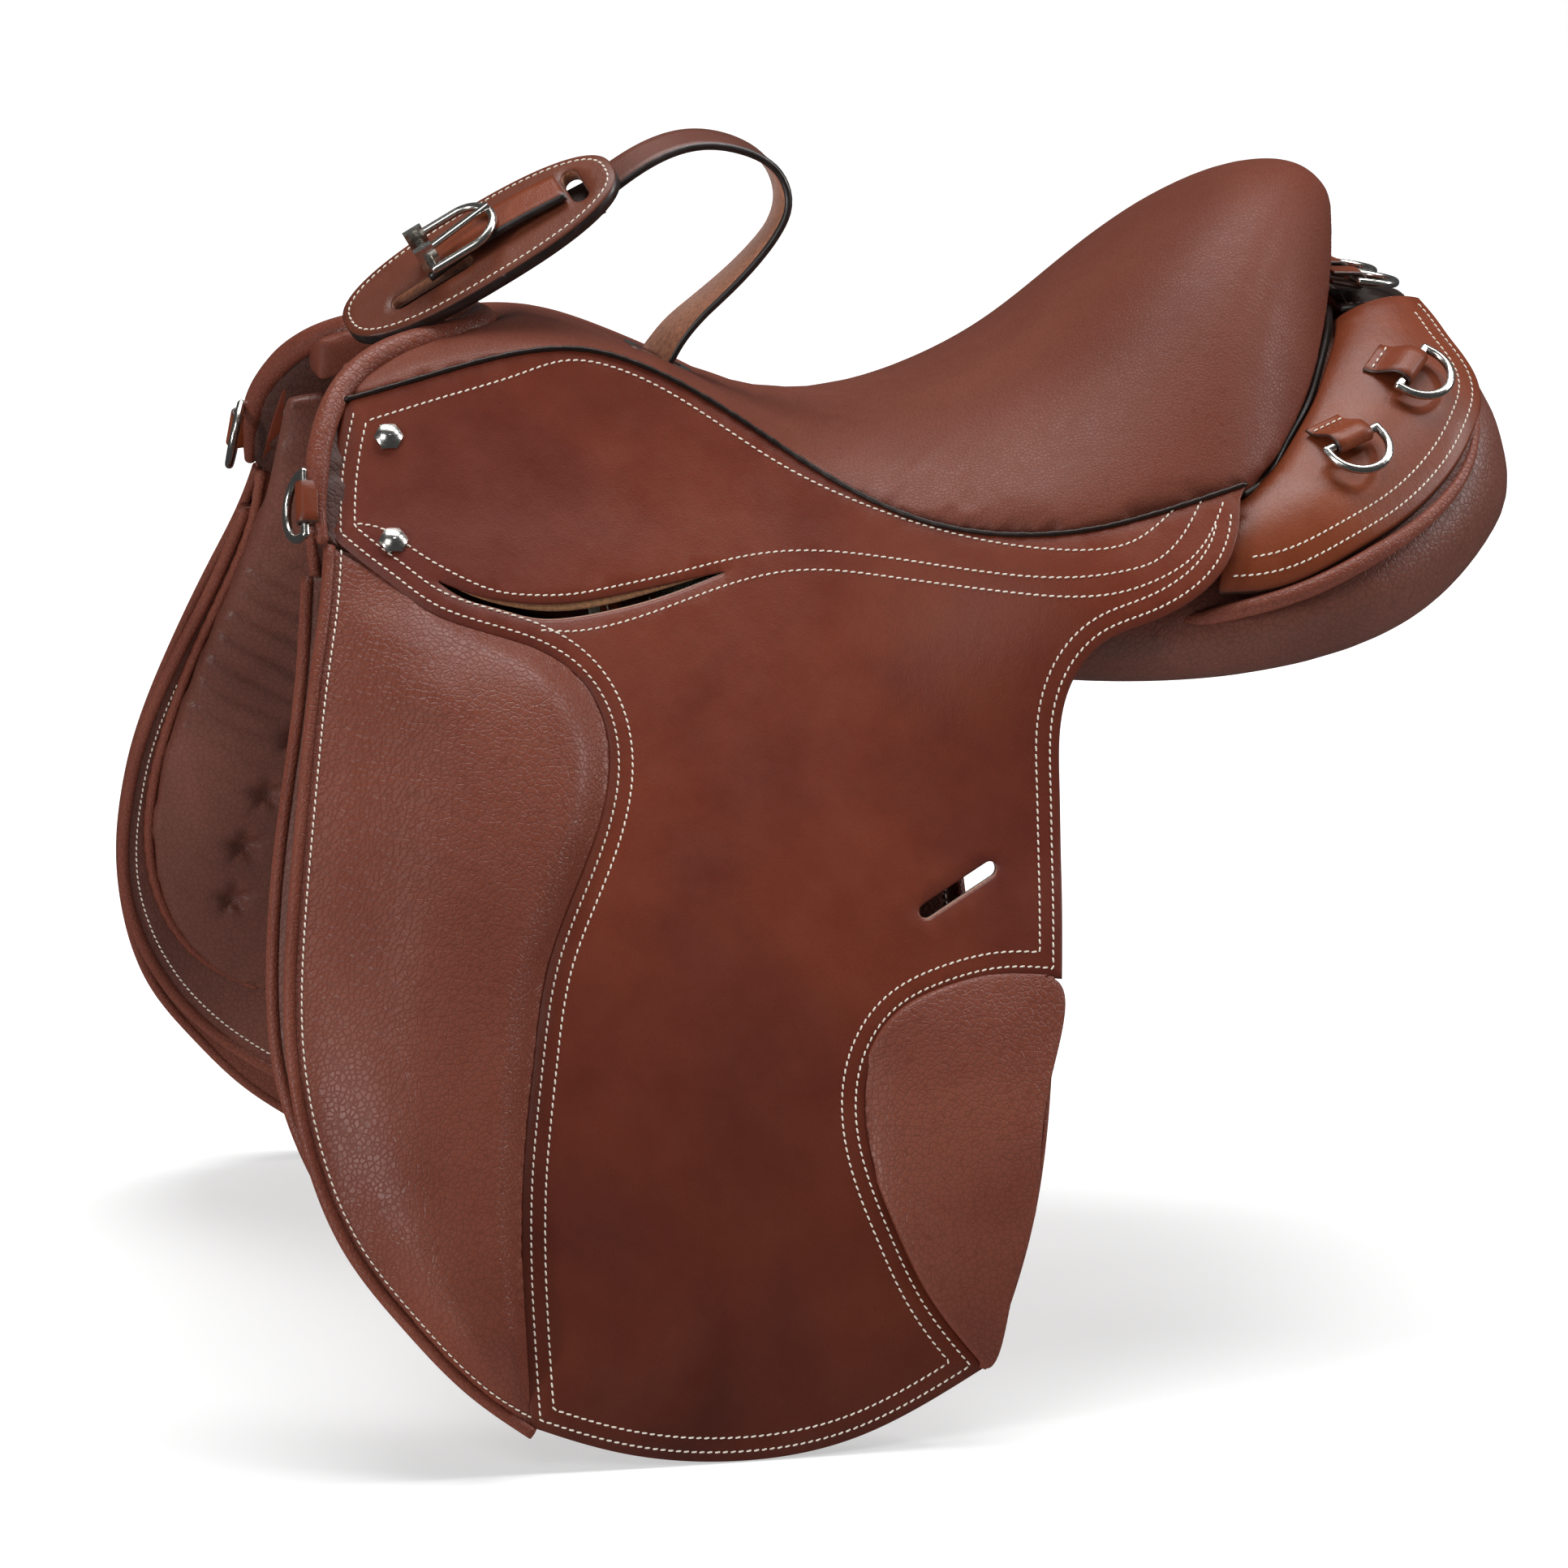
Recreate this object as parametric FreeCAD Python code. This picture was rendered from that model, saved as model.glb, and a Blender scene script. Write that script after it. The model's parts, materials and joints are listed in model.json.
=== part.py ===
"""English saddle with a one-piece flap and skirt, a cut-back head and a hand-hold strap.

Millimetres. X runs back (head at -X, cantle at +X), Z is up, and Y = 0 is the plane of symmetry.
The near side is -Y. Z = 0 is the level at which the panels bear beside the gullet.
Near-side pieces are modelled and mirrored to make the off-side ones.
"""
import FreeCAD, Part
import math
import os
from FreeCAD import Vector

# Leather and layers. Depths are measured inwards, along Y, from the outer face of the flap.
FLAP_THICK = 4.0
LINING_DEPTH, LINING_THICK = 4.8, 1.8
BILLET_DEPTH, BILLET_THICK = 14.0, 3.6
POINT_DEPTH, POINT_THICK = 20.5, 7.0
SWEAT_DEPTH, SWEAT_THICK = 24.0, 3.0
KNEE_DEPTH, HEAD_ROOM = 28.2, 12.0
STITCH_GAP = 0.8

# Draped shape of the flaps: half width at Z = 0, slope and curve of the fall, and the rear flare.
HALF_WIDTH = 150.0
FALL_SLOPE, FALL_CURVE = 0.66, 0.00084
HEAD_EASE, HEAD_EASE_FROM = 0.003, 60.0
REAR_FLARE = 45.0
FRONT_WRAP, FRONT_WRAP_FROM = 0.0012, -150.0

# Lift of the flap: two points of its fold line on the near side.
FOLD_FRONT = Vector(-200, -108, 47)
FOLD_REAR = Vector(104, -160, 17)

# Seat
COVER_THICK, FOAM_THICK, TREE_THICK = 2.2, 19.0, 8.0
FOAM_DROP, WEB_DROP, TREE_DROP = 3.2, 23.2, 26.4
WELT_WIDTH = 4.4

# Hardware
DEE_WIRE, DEE_WIDTH = 4.0, 25.0
KEEPER_WIDTH, KEEPER_LENGTH, KEEPER_THICK = 19.0, 13.0, 4.4
NAIL_HEAD = 13.0
PIN_CLEARANCE = 0.05
STRAP_WIDTH, STRAP_THICK = 20.0, 4.0
SLOT_WIDTH = 6.4
BILLET_WIDTH, BILLET_TOP, BILLET_END = 25.0, 40.0, -205.0
BILLET_PLACES = (-95.0, -15.0)
BILLET_PIVOT_Z = 31.0
BILLET_HOLES, BILLET_PITCH, BILLET_HOLE_RADIUS = 6, 22.0, 2.5
BAR_PLACE = (-92.0, 62.0)
WEB_DEPTH, WEB_THICK = 19.0, 2.4

# Outlines on the near side, as (x, z). Neighbouring runs share their end points.
WELT_LINE = [(-208, 117), (-177, 125), (-133, 134), (-105, 134.5), (-79, 127), (-41, 106), (-2, 80), (36, 63),
             (75, 59), (125, 65), (177, 77)]
FOLD_CORNER, SLIT_FRONT, SLIT_REAR = (-200, 47), (-179, 46), (-53, 43)
SLIT_UPPER = [SLIT_FRONT, (-145, 37.5), (-115, 36), (-82, 38.5), SLIT_REAR]
SLIT_LOWER = [(-53, 38.5), (-86, 32), (-117, 29), (-147, 31), (-179, 41)]
ROLL_EDGE = [(-196, 39), (-174, 35), (-147, 23), (-130, 14), (-118, 1), (-114, -20), (-119, -46), (-136, -79),
             (-149, -104), (-160, -145), (-168, -190), (-171, -240), (-170, -293)]
HEM = [(-170, -293), (-133, -306), (-84, -313), (-31, -307), (6, -292), (29, -280)]
CALF_EDGE = [(29, -280), (7, -250), (-7, -218), (-17, -180), (-13, -153), (0, -136), (25, -125), (50, -121),
             (75, -123)]
REAR_EDGE = [(75, -123), (79, -88), (82, -45), (84, -10)]
TAIL_EDGE = [(104, 17), (126, 24), (145, 32), (160, 43), (170, 58), (174, 73)]
ROLL_FRONT = [(-169, -296), (-194, -277), (-220, -249), (-242, -219), (-257, -176), (-261, -141), (-257, -93),
              (-247, -39), (-236, 10), (-229, 36)]
ROLL_FRONT_INSET = [(-190, -266), (-214, -240), (-236, -208), (-250, -165), (-252, -120), (-246, -70),
                    (-232, -10)]
SWEAT_FRONT = [(-232, 42), (-240, -1), (-254, -58), (-263, -113), (-263, -152), (-253, -188), (-236, -218),
               (-205, -250), (-165, -277)]
KNEE_FRONT = [(-222, 88), (-228, 40), (-238, -20), (-248, -80), (-252, -130), (-243, -170), (-222, -200),
              (-195, -217)]

# Centre line of the seat as (x, z), and half width of its welt as (x, y).
SEAT_CENTRE = [(-208, 128), (-170, 138), (-140, 143), (-118, 142.5), (-96, 137), (-60, 119), (-22, 103), (19, 97),
               (60, 104), (106, 126), (147, 160), (185, 186), (223, 199), (240, 197), (252, 186)]
RIM_HALF_WIDTH = [(177, 138), (190, 129), (206, 111), (220, 91), (232, 68), (240, 50), (247, 31), (252, 12)]
RIM_HEIGHT = [(177, 77), (190, 81), (206, 94), (220, 109), (232, 127), (240, 142), (247, 162), (252, 178)]
SEAT_ROUNDNESS = 2.5

# Arches of the head plate and of the lining under it, as (y, z).
HEAD_ARCH = [(0, 97.5), (30, 97), (47, 95), (57, 90), (64, 80), (73.5, 66), (80, 57)]
LINING_ARCH = [(0, 84), (22, 82), (35, 73), (39, 60)]

# Rear panel stations: x, inner y, outer y, lowest z, lip z, top z.
PANEL_STATIONS = [(-50, 48, 100, 4, 22, 34), (20, 40, 124, -12, 16, 38), (100, 38, 156, -20, 20, 42),
                  (150, 38, 161, -22, 24, 52), (200, 38, 160, -17, 36, 80), (245, 40, 146, -3, 56, 106),
                  (280, 42, 118, 22, 82, 116), (298, 48, 98, 46, 96, 114), (306, 56, 82, 64, 92, 104)]

# Rear skirt: inner edge under the cantle and outer edge round the end of the panel.
SKIRT_INNER = [(170, 130, 66), (192, 121, 76), (208, 108, 92), (222, 92, 106), (233, 74, 119), (241, 58, 128),
               (246, 42, 133)]
SKIRT_OUTER = [(159, 158, 31), (195, 161, 38), (228, 152, 50), (260, 134, 64), (287, 110, 84), (302, 80, 108),
               (286, 36, 138)]
SKIRT_CROWN = 9.0
SKIRT_THICK = 3.6

# Centre line of the roll round the cut-back head, from the near front edge to the middle of the notch.
POMMEL_ROLL = [(-226, -85, 95), (-221, -74, 107), (-212, -60, 119), (-198, -46, 128), (-178, -35, 134),
               (-158, -28, 137), (-146, -20, 138.5), (-140, -9, 139), (-138.5, 0, 139)]
ROLL_RADIUS = 4.5

# Oval safe of the hand-hold: centre, long axis, width axis, face normal and size.
SAFE_CENTRE = Vector(-142, -14, 175)
SAFE_LONG = Vector(0.8598, -0.0762, 0.5038)
SAFE_NORMAL = Vector(-0.4886, -0.4044, 0.7727)
SAFE_LENGTH, SAFE_WIDTH, SAFE_THICK = 138.0, 57.0, 6.5
STRAP_PATH = [(-88, -6, 196), (-64, -4, 211), (-43, -2, 217), (-22, -2, 214), (-6, -4, 203), (-2, -6, 189),
              (-13, -9, 169), (-36, -12, 148), (-54, -14, 132), (-62, -15, 121)]


def smooth(t):
    """Rises from 0 to 1 as t goes from 0 to 1, level at both ends."""
    t = min(1.0, max(0.0, t))
    return t * t * (3 - 2 * t)


def through(points, x):
    """Value at x of the smooth curve through (x, value) points, whose x rises."""
    last = len(points) - 1
    i = max([k for k in range(last) if points[k][0] <= x] or [0])

    def slope(k):
        a, b = points[max(0, k - 1)], points[min(last, k + 1)]
        return (b[1] - a[1]) / (b[0] - a[0])

    (x0, y0), (x1, y1) = points[i], points[i + 1]
    h = x1 - x0
    t = (x - x0) / h
    rise = (2 * t**3 - 3 * t * t + 1) * y0 + (3 * t * t - 2 * t**3) * y1
    return rise + h * ((t**3 - 2 * t * t + t) * slope(i) + (t**3 - t * t) * slope(i + 1))


def drape(x, z):
    """Distance of the flap's outer face from the plane of symmetry."""
    width = HALF_WIDTH - FALL_SLOPE * z - FALL_CURVE * z * z
    width += HEAD_EASE * max(0.0, z - HEAD_EASE_FROM) ** 2
    width += REAR_FLARE * smooth((x + 30) / 150) * smooth((z + 80) / 130)
    return width - FRONT_WRAP * max(0.0, FRONT_WRAP_FROM - x) ** 2


def surface(grid):
    """Face of the spline surface through a grid of points."""
    patch = Part.BSplineSurface()
    patch.interpolate(grid)
    return Part.Face(patch)


def curve(points):
    """Edge through points: straight through two, a spline through more."""
    points = [Vector(*p) for p in points]
    if len(points) == 2:
        return Part.LineSegment(*points).toShape()
    line = Part.BSplineCurve()
    line.interpolate(points)
    return line.toShape()


def outline_prism(runs, far=400.0):
    """Solid from Y = -far to Y = 0 whose side view is the closed outline of the runs of (x, z) points."""
    edges = [curve([(x, -far, z) for x, z in run]) for run in runs]
    wire = Part.Wire(Part.__sortEdges__(edges))
    return Part.Face(wire).extrude(Vector(0, far, 0))


def side_face(bulge):
    """Near-side face, as far out as the drape plus bulge(x, z)."""
    grid = []
    for i in range(28):
        x = -310 + 24.5 * i
        grid.append([Vector(x, -drape(x, z) - bulge(x, z), z) for z in [-345 + 20.5 * k for k in range(26)]])
    return surface(grid)


def leather(runs, depth, thick):
    """Sheet of leather of that outline, draped at that depth."""
    trimmed = side_face(lambda x, z: -depth).common(outline_prism(runs))
    return trimmed.Faces[0].extrude(Vector(0, thick, 0))


def pad(runs, outer, inner):
    """Solid of that outline between two faces: the drape plus outer(x, z), and the drape plus inner(x, z)."""
    block = side_face(outer).extrude(Vector(0, 120, 0)).common(outline_prism(runs))
    return block.cut(side_face(inner).extrude(Vector(0, 240, 0))).Solids[0]


def mirrored(shape):
    return shape.mirror(Vector(0, 0, 0), Vector(0, 1, 0))


def export(name, shape):
    os.makedirs("parts", exist_ok=True)
    shape.exportStep("parts/" + name + ".step")
    print(name, round(shape.Volume), len(shape.Solids), shape.isValid())


def export_pair(name, near):
    export(name + "_near", near)
    export(name + "_off", mirrored(near))


def placed(shape, origin, along, normal):
    """Moves a shape from its own frame to one whose X is along, Z is normal and origin is given."""
    along = Vector(along).normalize()
    across = Vector(normal).cross(along).normalize()
    up = along.cross(across)
    matrix = FreeCAD.Matrix(along.x, across.x, up.x, origin.x, along.y, across.y, up.y, origin.y,
                            along.z, across.z, up.z, origin.z, 0, 0, 0, 1)
    moved = shape.copy()
    moved.Placement = FreeCAD.Placement(matrix).multiply(moved.Placement)
    return moved


def fuse(shapes):
    whole = shapes[0].multiFuse(shapes[1:]) if len(shapes) > 1 else shapes[0]
    return whole.removeSplitter()


def tube(points, radius):
    """Loft of circles square to the path through the points."""
    rings = []
    for i, p in enumerate(points):
        ahead = Vector(*points[min(i + 1, len(points) - 1)]).sub(Vector(*points[max(i - 1, 0)]))
        rings.append(Part.Wire(Part.makeCircle(radius, Vector(*p), ahead)))
    return Part.makeLoft(rings, True)


# ---------------------------------------------------------------- seat and tree

def welt_point(x):
    """Half width and height of the seat's edge at x."""
    if x <= WELT_LINE[-1][0]:
        z = through(WELT_LINE, x)
        flat = drape(x, z) - 0.5
        return flat, z
    return through(RIM_HALF_WIDTH, x), through(RIM_HEIGHT, x)


def seat_sheet(first, last, reach, drop, thick):
    """Sheet under the seat's top face, from x = first to last, out to reach of the half width."""
    grid = []
    steps = int((last - first) / 9.0)
    for i in range(steps + 1):
        x = first + (last - first) * i / steps
        half, low = welt_point(x)
        crown = through(SEAT_CENTRE, x) - low
        row = []
        for k in range(-8, 9):
            t = reach * k / 8.0
            row.append(Vector(x, t * half, low + crown * (1 - abs(t) ** SEAT_ROUNDNESS) - drop))
        grid.append(row)
    return surface(grid).extrude(Vector(0, 0, -thick))


def cut_back(half_width, end):
    """Vertical block with a round end that opens the head between the points."""
    box = Part.makeBox(200, 2 * half_width, 200, Vector(end - 200, -half_width, 40))
    return box.fuse(Part.makeCylinder(half_width, 200, Vector(end, 0, 40)))


def seat_parts():
    export("seat_cover", seat_sheet(-206, 251, 0.965, 0, COVER_THICK).cut(cut_back(27, -162)))
    export("seat_foam", seat_sheet(-190, 227, 0.89, FOAM_DROP, FOAM_THICK).cut(cut_back(38, -162)))
    straps = []
    for x in (-40, 30, 100):
        straps.append(seat_sheet(x - 26, x + 26, 0.62, WEB_DROP, 1.6))
    export("seat_webbing", Part.makeCompound(straps))
    shell = seat_sheet(-190, 217, 0.86, TREE_DROP, TREE_THICK).cut(cut_back(38, -158))
    window = Part.makeBox(150, 60, 300, Vector(-35, -30, -60))
    shell = shell.cut(window.fuse(Part.makeCylinder(30, 300, Vector(115, 0, -60)).fuse(
        Part.makeCylinder(30, 300, Vector(-35, 0, -60)))))
    crest = [(-44, 74), (-80, 104), (-120, 109), (-188, 104)]
    outline = [[(-188, 52), (-60, 52)], [(-60, 52), (-44, 74)], crest, [(-188, 104), (-188, 52)]]
    point = leather(outline, POINT_DEPTH, POINT_THICK)
    export("tree", fuse([shell, point, mirrored(point)]))


def welt_parts():
    upper = [(x, z + WELT_WIDTH / 2) for x, z in WELT_LINE]
    lower = [(x, z - WELT_WIDTH / 2) for x, z in WELT_LINE]
    strip = leather([upper, [upper[-1], lower[-1]], lower, [lower[0], upper[0]]], -1.6, FLAP_THICK + 1.6)
    export_pair("seat_welt", strip)


def arch(half_points, x0, x1, thick):
    """Band from x0 to x1 whose section in YZ is the symmetric curve through half_points of (y, z)."""
    both = [(-y, z) for y, z in reversed(half_points)] + [(y, z) for y, z in half_points[1:]]
    outer = [(x0, y, z) for y, z in both]
    inner = [(x0, y * (1 - thick / 100.0), z - thick) for y, z in both]
    wire = Part.Wire([curve(outer), curve([outer[-1], inner[-1]]), curve(inner), curve([inner[0], outer[0]])])
    return Part.Face(wire).extrude(Vector(x1 - x0, 0, 0))


def head_parts():
    export("head_plate", arch(HEAD_ARCH, -172, -142, 4.0))
    export("gullet_lining", arch(LINING_ARCH, -158, -88, 2.0))
    off = [(x, -y, z) for x, y, z in reversed(POMMEL_ROLL[:-1])]
    export("pommel_roll", tube(POMMEL_ROLL + off, ROLL_RADIUS))


# ---------------------------------------------------------------- flaps and layers

def skirt_and_flap():
    top = [(x, z - WELT_WIDTH / 2 - 0.6) for x, z in WELT_LINE]
    skirt = [top, [top[-1], TAIL_EDGE[-1]], TAIL_EDGE, [TAIL_EDGE[0], (60, 30), (0, 38), SLIT_REAR], SLIT_UPPER,
             [SLIT_FRONT, FOLD_CORNER], [FOLD_CORNER, (-223, 63)], [(-223, 63), (-217, 82), top[0]]]
    export_pair("skirt", leather(skirt, 0, FLAP_THICK))
    hinge_edge = [REAR_EDGE[-1], (45, 16), (0, 29), SLIT_LOWER[0]]
    front_tab = [SLIT_LOWER[-1], ROLL_EDGE[0]]
    flap = leather([hinge_edge, SLIT_LOWER, front_tab, ROLL_EDGE, HEM, CALF_EDGE, REAR_EDGE], 0, FLAP_THICK)
    slot = Part.makeBox(34, 400, SLOT_WIDTH, Vector(-17, -400, -SLOT_WIDTH / 2))
    for end in (-17, 17):
        slot = slot.fuse(Part.makeCylinder(SLOT_WIDTH / 2, 400, Vector(end, -400, 0), Vector(0, 1, 0)))
    slot.rotate(Vector(0, 0, 0), Vector(0, 1, 0), -27)
    slot.translate(Vector(33, 0, -85.5))
    export_pair("flap", flap.cut(slot))
    lining = [[(-218, 12), (70, -14)], [(70, -14), (78, -60), (73, -125)], [(73, -125), (60, -190), (27, -268)],
              [(27, -268), (-31, -296), (-90, -303), (-160, -287)], [(-160, -287)] + ROLL_FRONT_INSET,
              [ROLL_FRONT_INSET[-1], (-218, 12)]]
    export_pair("flap_lining", leather(lining, LINING_DEPTH, LINING_THICK).cut(slot))


def roll_fraction(x, z):
    """0 at the front edge of the thigh roll, 1 at its edge against the flap."""
    front = through(sorted([(b, a) for a, b in ROLL_FRONT]), z)
    back = through(sorted([(b, a) for a, b in ROLL_EDGE]), z)
    return (x - front) / (back - front)


def roll_bulge(x, z):
    z_in = min(30.0, max(-288.0, z))
    u = min(1.0, max(0.0, roll_fraction(x, z_in)))
    ends = smooth((z_in + 295) / 60) * smooth((40 - z_in) / 45)
    return 15.0 * math.sin(math.pi * u) * ends


def calf_bulge(x, z):
    across = max(0.0, 1 - ((x - 34) / 48) ** 2)
    along = max(0.0, 1 - ((z + 200) / 84) ** 2)
    return 9.0 * across * along


def pads():
    inset = STITCH_GAP
    edge = [(x - inset, z) for x, z in ROLL_EDGE]
    roll = [[ROLL_FRONT[-1], edge[0]], edge, [edge[-1], ROLL_FRONT[0]], ROLL_FRONT]
    export_pair("thigh_roll", pad(roll, roll_bulge, lambda x, z: -4.2))
    front = [(30.5, -278), (8.5, -249.5), (-5.5, -218), (-15.5, -180), (-11.5, -154), (1, -137.5), (25, -126.5),
             (50, -122.5), (73, -124.5)]
    calf = [front, [(73, -124.5), (70, -165), (60, -215), (46, -252), (30.5, -278)]]
    export_pair("calf_pad", pad(calf, calf_bulge, lambda x, z: -4.2))


def under_layers():
    hem = [SWEAT_FRONT[-1], (-90, -294), (-20, -280), (22, -245)]
    rear = [(22, -245), (38, -150), (38, -60), (34, 0)]
    sweat = [SWEAT_FRONT, hem, rear, [(34, 0), (20, 40)], [(20, 40), SWEAT_FRONT[0]]]
    export_pair("sweat_flap", leather(sweat, SWEAT_DEPTH, SWEAT_THICK))
    knee = [KNEE_FRONT, [KNEE_FRONT[-1], (-150, -222), (-110, -205), (-80, -160)],
            [(-80, -160), (-64, -90), (-58, -30), (-58, 30)], [(-58, 30), (-90, 68), (-140, 88), KNEE_FRONT[0]]]

    def outer(x, z):
        return -KNEE_DEPTH - HEAD_ROOM * smooth((z - 38) / 16)

    def inner(x, z):
        full = 14 + 13 * smooth((z + 230) / 160)
        full *= 1 - 0.6 * smooth((z - 40) / 45)
        return outer(x, z) - full * smooth((x + 275) / 60) * smooth((-30 - x) / 60) - 2

    export_pair("knee_panel", pad(knee, outer, inner))
    web = [[(-112, 10), (2, 10)], [(2, 10), (2, 38)], [(2, 38), (-112, 38)], [(-112, 38), (-112, 10)]]
    export_pair("billet_web", leather(web, WEB_DEPTH, WEB_THICK))


def billets():
    for name, x in zip(("front", "rear"), BILLET_PLACES):
        half = BILLET_WIDTH / 2
        tip = [(x + half, BILLET_END), (x, BILLET_END - 16), (x - half, BILLET_END)]
        runs = [[(x - half, BILLET_TOP), (x + half, BILLET_TOP)], [(x + half, BILLET_TOP), tip[0]], tip,
                [tip[-1], (x - half, BILLET_TOP)]]
        strap = leather(runs, BILLET_DEPTH, BILLET_THICK)
        origin, normal = side_frame(x, BILLET_PIVOT_Z, BILLET_DEPTH)
        strap = strap.cut(Part.makeCylinder(3.0 + PIN_CLEARANCE, 30, origin.sub(normal * 15), normal))
        for k in range(BILLET_HOLES):
            centre, across = side_frame(x, BILLET_END + 8 + BILLET_PITCH * k, BILLET_DEPTH)
            strap = strap.cut(Part.makeCylinder(BILLET_HOLE_RADIUS, 30, centre.sub(across * 15), across))
        export_pair("billet_" + name, strap)
        print("  hinge billet", name, [round(c, 3) for c in origin], [round(c, 4) for c in normal])


def side_frame(x, z, depth):
    """Point at that depth under the drape, and the outward normal there."""
    step = 1.0
    dz = (drape(x, z + step) - drape(x, z - step)) / (2 * step)
    dx = (drape(x + step, z) - drape(x - step, z)) / (2 * step)
    return Vector(x, depth - drape(x, z), z), Vector(-dx, -1, -dz).normalize()


def billet_rivets():
    rivets = []
    for x in BILLET_PLACES:
        origin, normal = side_frame(x, BILLET_PIVOT_Z, BILLET_DEPTH)
        shank = Part.makeCylinder(3.0, 7.0, origin.sub(normal * 5.4), normal)
        head = Part.makeCylinder(5.5, 1.4, origin + normal * 0.6, normal)
        rivets.append(fuse([shank, head]))
    both = rivets + [mirrored(r) for r in rivets]
    export("billet_rivets", Part.makeCompound(both))


# ---------------------------------------------------------------- rear panel and skirts

def panel_section(x, inner, outer, low, lip, top):
    """Closed wire of the rear panel's section at x."""
    wide, tall = outer - inner, top - lip
    side = lip - low
    points = [(inner, low + 0.25 * side), (inner + 0.14 * wide, low + 0.05 * side), (inner + 0.5 * wide, low),
              (outer - 0.14 * wide, low + 0.12 * side), (outer, low + 0.55 * side), (outer - 0.07 * wide, lip),
              (inner + 0.62 * wide, lip + 0.55 * tall), (inner + 0.16 * wide, top), (inner, top - 0.25 * tall)]
    line = Part.BSplineCurve()
    line.interpolate([Vector(x, -y, z) for y, z in points], True)
    return Part.Wire(line.toShape())


def rear_skirt_point(u, v):
    """Point of the rear skirt's top face: u along it, v from its inner to its outer edge."""
    last = len(SKIRT_INNER) - 1

    def along(points, axis):
        return through([(k / last, p[axis]) for k, p in enumerate(points)], u)

    inner = Vector(along(SKIRT_INNER, 0), -along(SKIRT_INNER, 1), along(SKIRT_INNER, 2))
    outer = Vector(along(SKIRT_OUTER, 0), -along(SKIRT_OUTER, 1), along(SKIRT_OUTER, 2))
    return inner * (1 - v) + outer * v + Vector(0.1, -0.6, 0.8) * (4 * v * (1 - v) * SKIRT_CROWN)


def rear_skirt_frame(u, v):
    """Point, outward normal and outward tangent (towards the outer edge) of the rear skirt."""
    step = 0.01
    along = rear_skirt_point(u + step, v).sub(rear_skirt_point(u - step, v))
    outward = rear_skirt_point(u, v + step).sub(rear_skirt_point(u, v - step)).normalize()
    normal = outward.cross(along).normalize()
    if normal.z < 0:
        normal = normal * -1
    return rear_skirt_point(u, v), normal, outward


def rear_parts():
    panel = Part.makeLoft([panel_section(*s) for s in PANEL_STATIONS], True)
    export_pair("rear_panel", panel)
    grid = [[rear_skirt_point(i / 14.0, k / 6.0) for k in range(7)] for i in range(15)]
    plate = surface(grid).extrude(Vector(0, 0.6, -0.8) * SKIRT_THICK)
    export_pair("rear_skirt", plate)
    rim = [(x + 2, through(RIM_HALF_WIDTH, x) * 0.95, through(RIM_HEIGHT, x) - 6) for x in (184, 206, 226, 240, 248)]
    foot = [(180, 122, 70), (201, 104, 86), (217, 86, 100), (230, 62, 113), (240, 36, 123)]
    grid = []
    for side, order in ((-1, range(5)), (1, range(4, -1, -1))):
        for i in order:
            top, base = Vector(*rim[i]), Vector(*foot[i])
            row = [top * (1 - v) + base * v for v in (0.0, 0.35, 0.7, 1.0)]
            grid.append([Vector(p.x, side * p.y, p.z) for p in row])
    export("cantle_facing", surface(grid).extrude(Vector(-2.4, 0, 0)))
    grid = []
    for x in (252, 262, 272, 282, 290):
        grid.append([Vector(x, y, 141 - 0.006 * y * y - 0.005 * (x - 262) ** 2) for y in range(-30, 31, 6)])
    export("rear_bridge", surface(grid).extrude(Vector(0, 0, -3.2)))


# ---------------------------------------------------------------- hardware

def dee(width=DEE_WIDTH, wire=DEE_WIRE):
    """Dee ring in its own frame: straight bar on the Y axis, bow towards +X."""
    r = wire / 2
    half = width / 2 + r
    leg = 4.0
    bar = Part.makeCylinder(r, 2 * half, Vector(0, -half, 0), Vector(0, 1, 0))
    shapes = [bar]
    for side in (-1, 1):
        shapes.append(Part.makeSphere(r, Vector(0, side * half, 0)))
        shapes.append(Part.makeCylinder(r, leg, Vector(0, side * half, 0), Vector(1, 0, 0)))
    ring = Part.Face(Part.Wire(Part.makeCircle(r, Vector(leg, -half, 0), Vector(1, 0, 0))))
    shapes.append(ring.revolve(Vector(leg, 0, 0), Vector(0, 0, 1), 180))
    return fuse(shapes)


def keeper():
    """Leather loop that holds the bar of a dee: its tab runs towards -X and lies at Z = -KEEPER_THICK."""
    width = KEEPER_WIDTH
    nose = Part.makeCylinder(KEEPER_THICK, width, Vector(0, -width / 2, 0), Vector(0, 1, 0))
    tab = Part.makeBox(KEEPER_LENGTH, width, KEEPER_THICK, Vector(-KEEPER_LENGTH, -width / 2, -KEEPER_THICK))
    bore = Part.makeCylinder(DEE_WIRE / 2 + 0.3, width + 2, Vector(0, -width / 2 - 1, 0), Vector(0, 1, 0))
    return nose.fuse(tab).removeSplitter().cut(bore)


def dee_places():
    """Name, origin, bow direction and face normal of each near-side dee, then its keeper's direction and normal."""
    places = []
    places.append(("front_dee", Vector(-234.5, -97, 77), Vector(-0.29, 0.82, -0.49), Vector(-0.95, -0.2, 0.2),
                   Vector(-1, 0.05, 0.06), Vector(0, -1, 0.63)))
    for name, u, v, lift in (("rear_dee_low", 0.42, 0.42, 5.4), ("rear_dee_high", 0.72, 0.5, 5.4)):
        point, normal, outward = rear_skirt_frame(u, v)
        places.append((name, point + normal * lift, outward, normal, outward, normal))
    bow, up = Vector(1, -0.1, -0.12), Vector(0.12, 0, 1)
    places.append(("cantle_dee", Vector(262, -17, 147), bow, up, bow, up))
    return places


def square_to(normal, along):
    """The part of normal that is square to along."""
    along = Vector(along).normalize()
    return normal.sub(along * normal.dot(along)).normalize()


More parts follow.
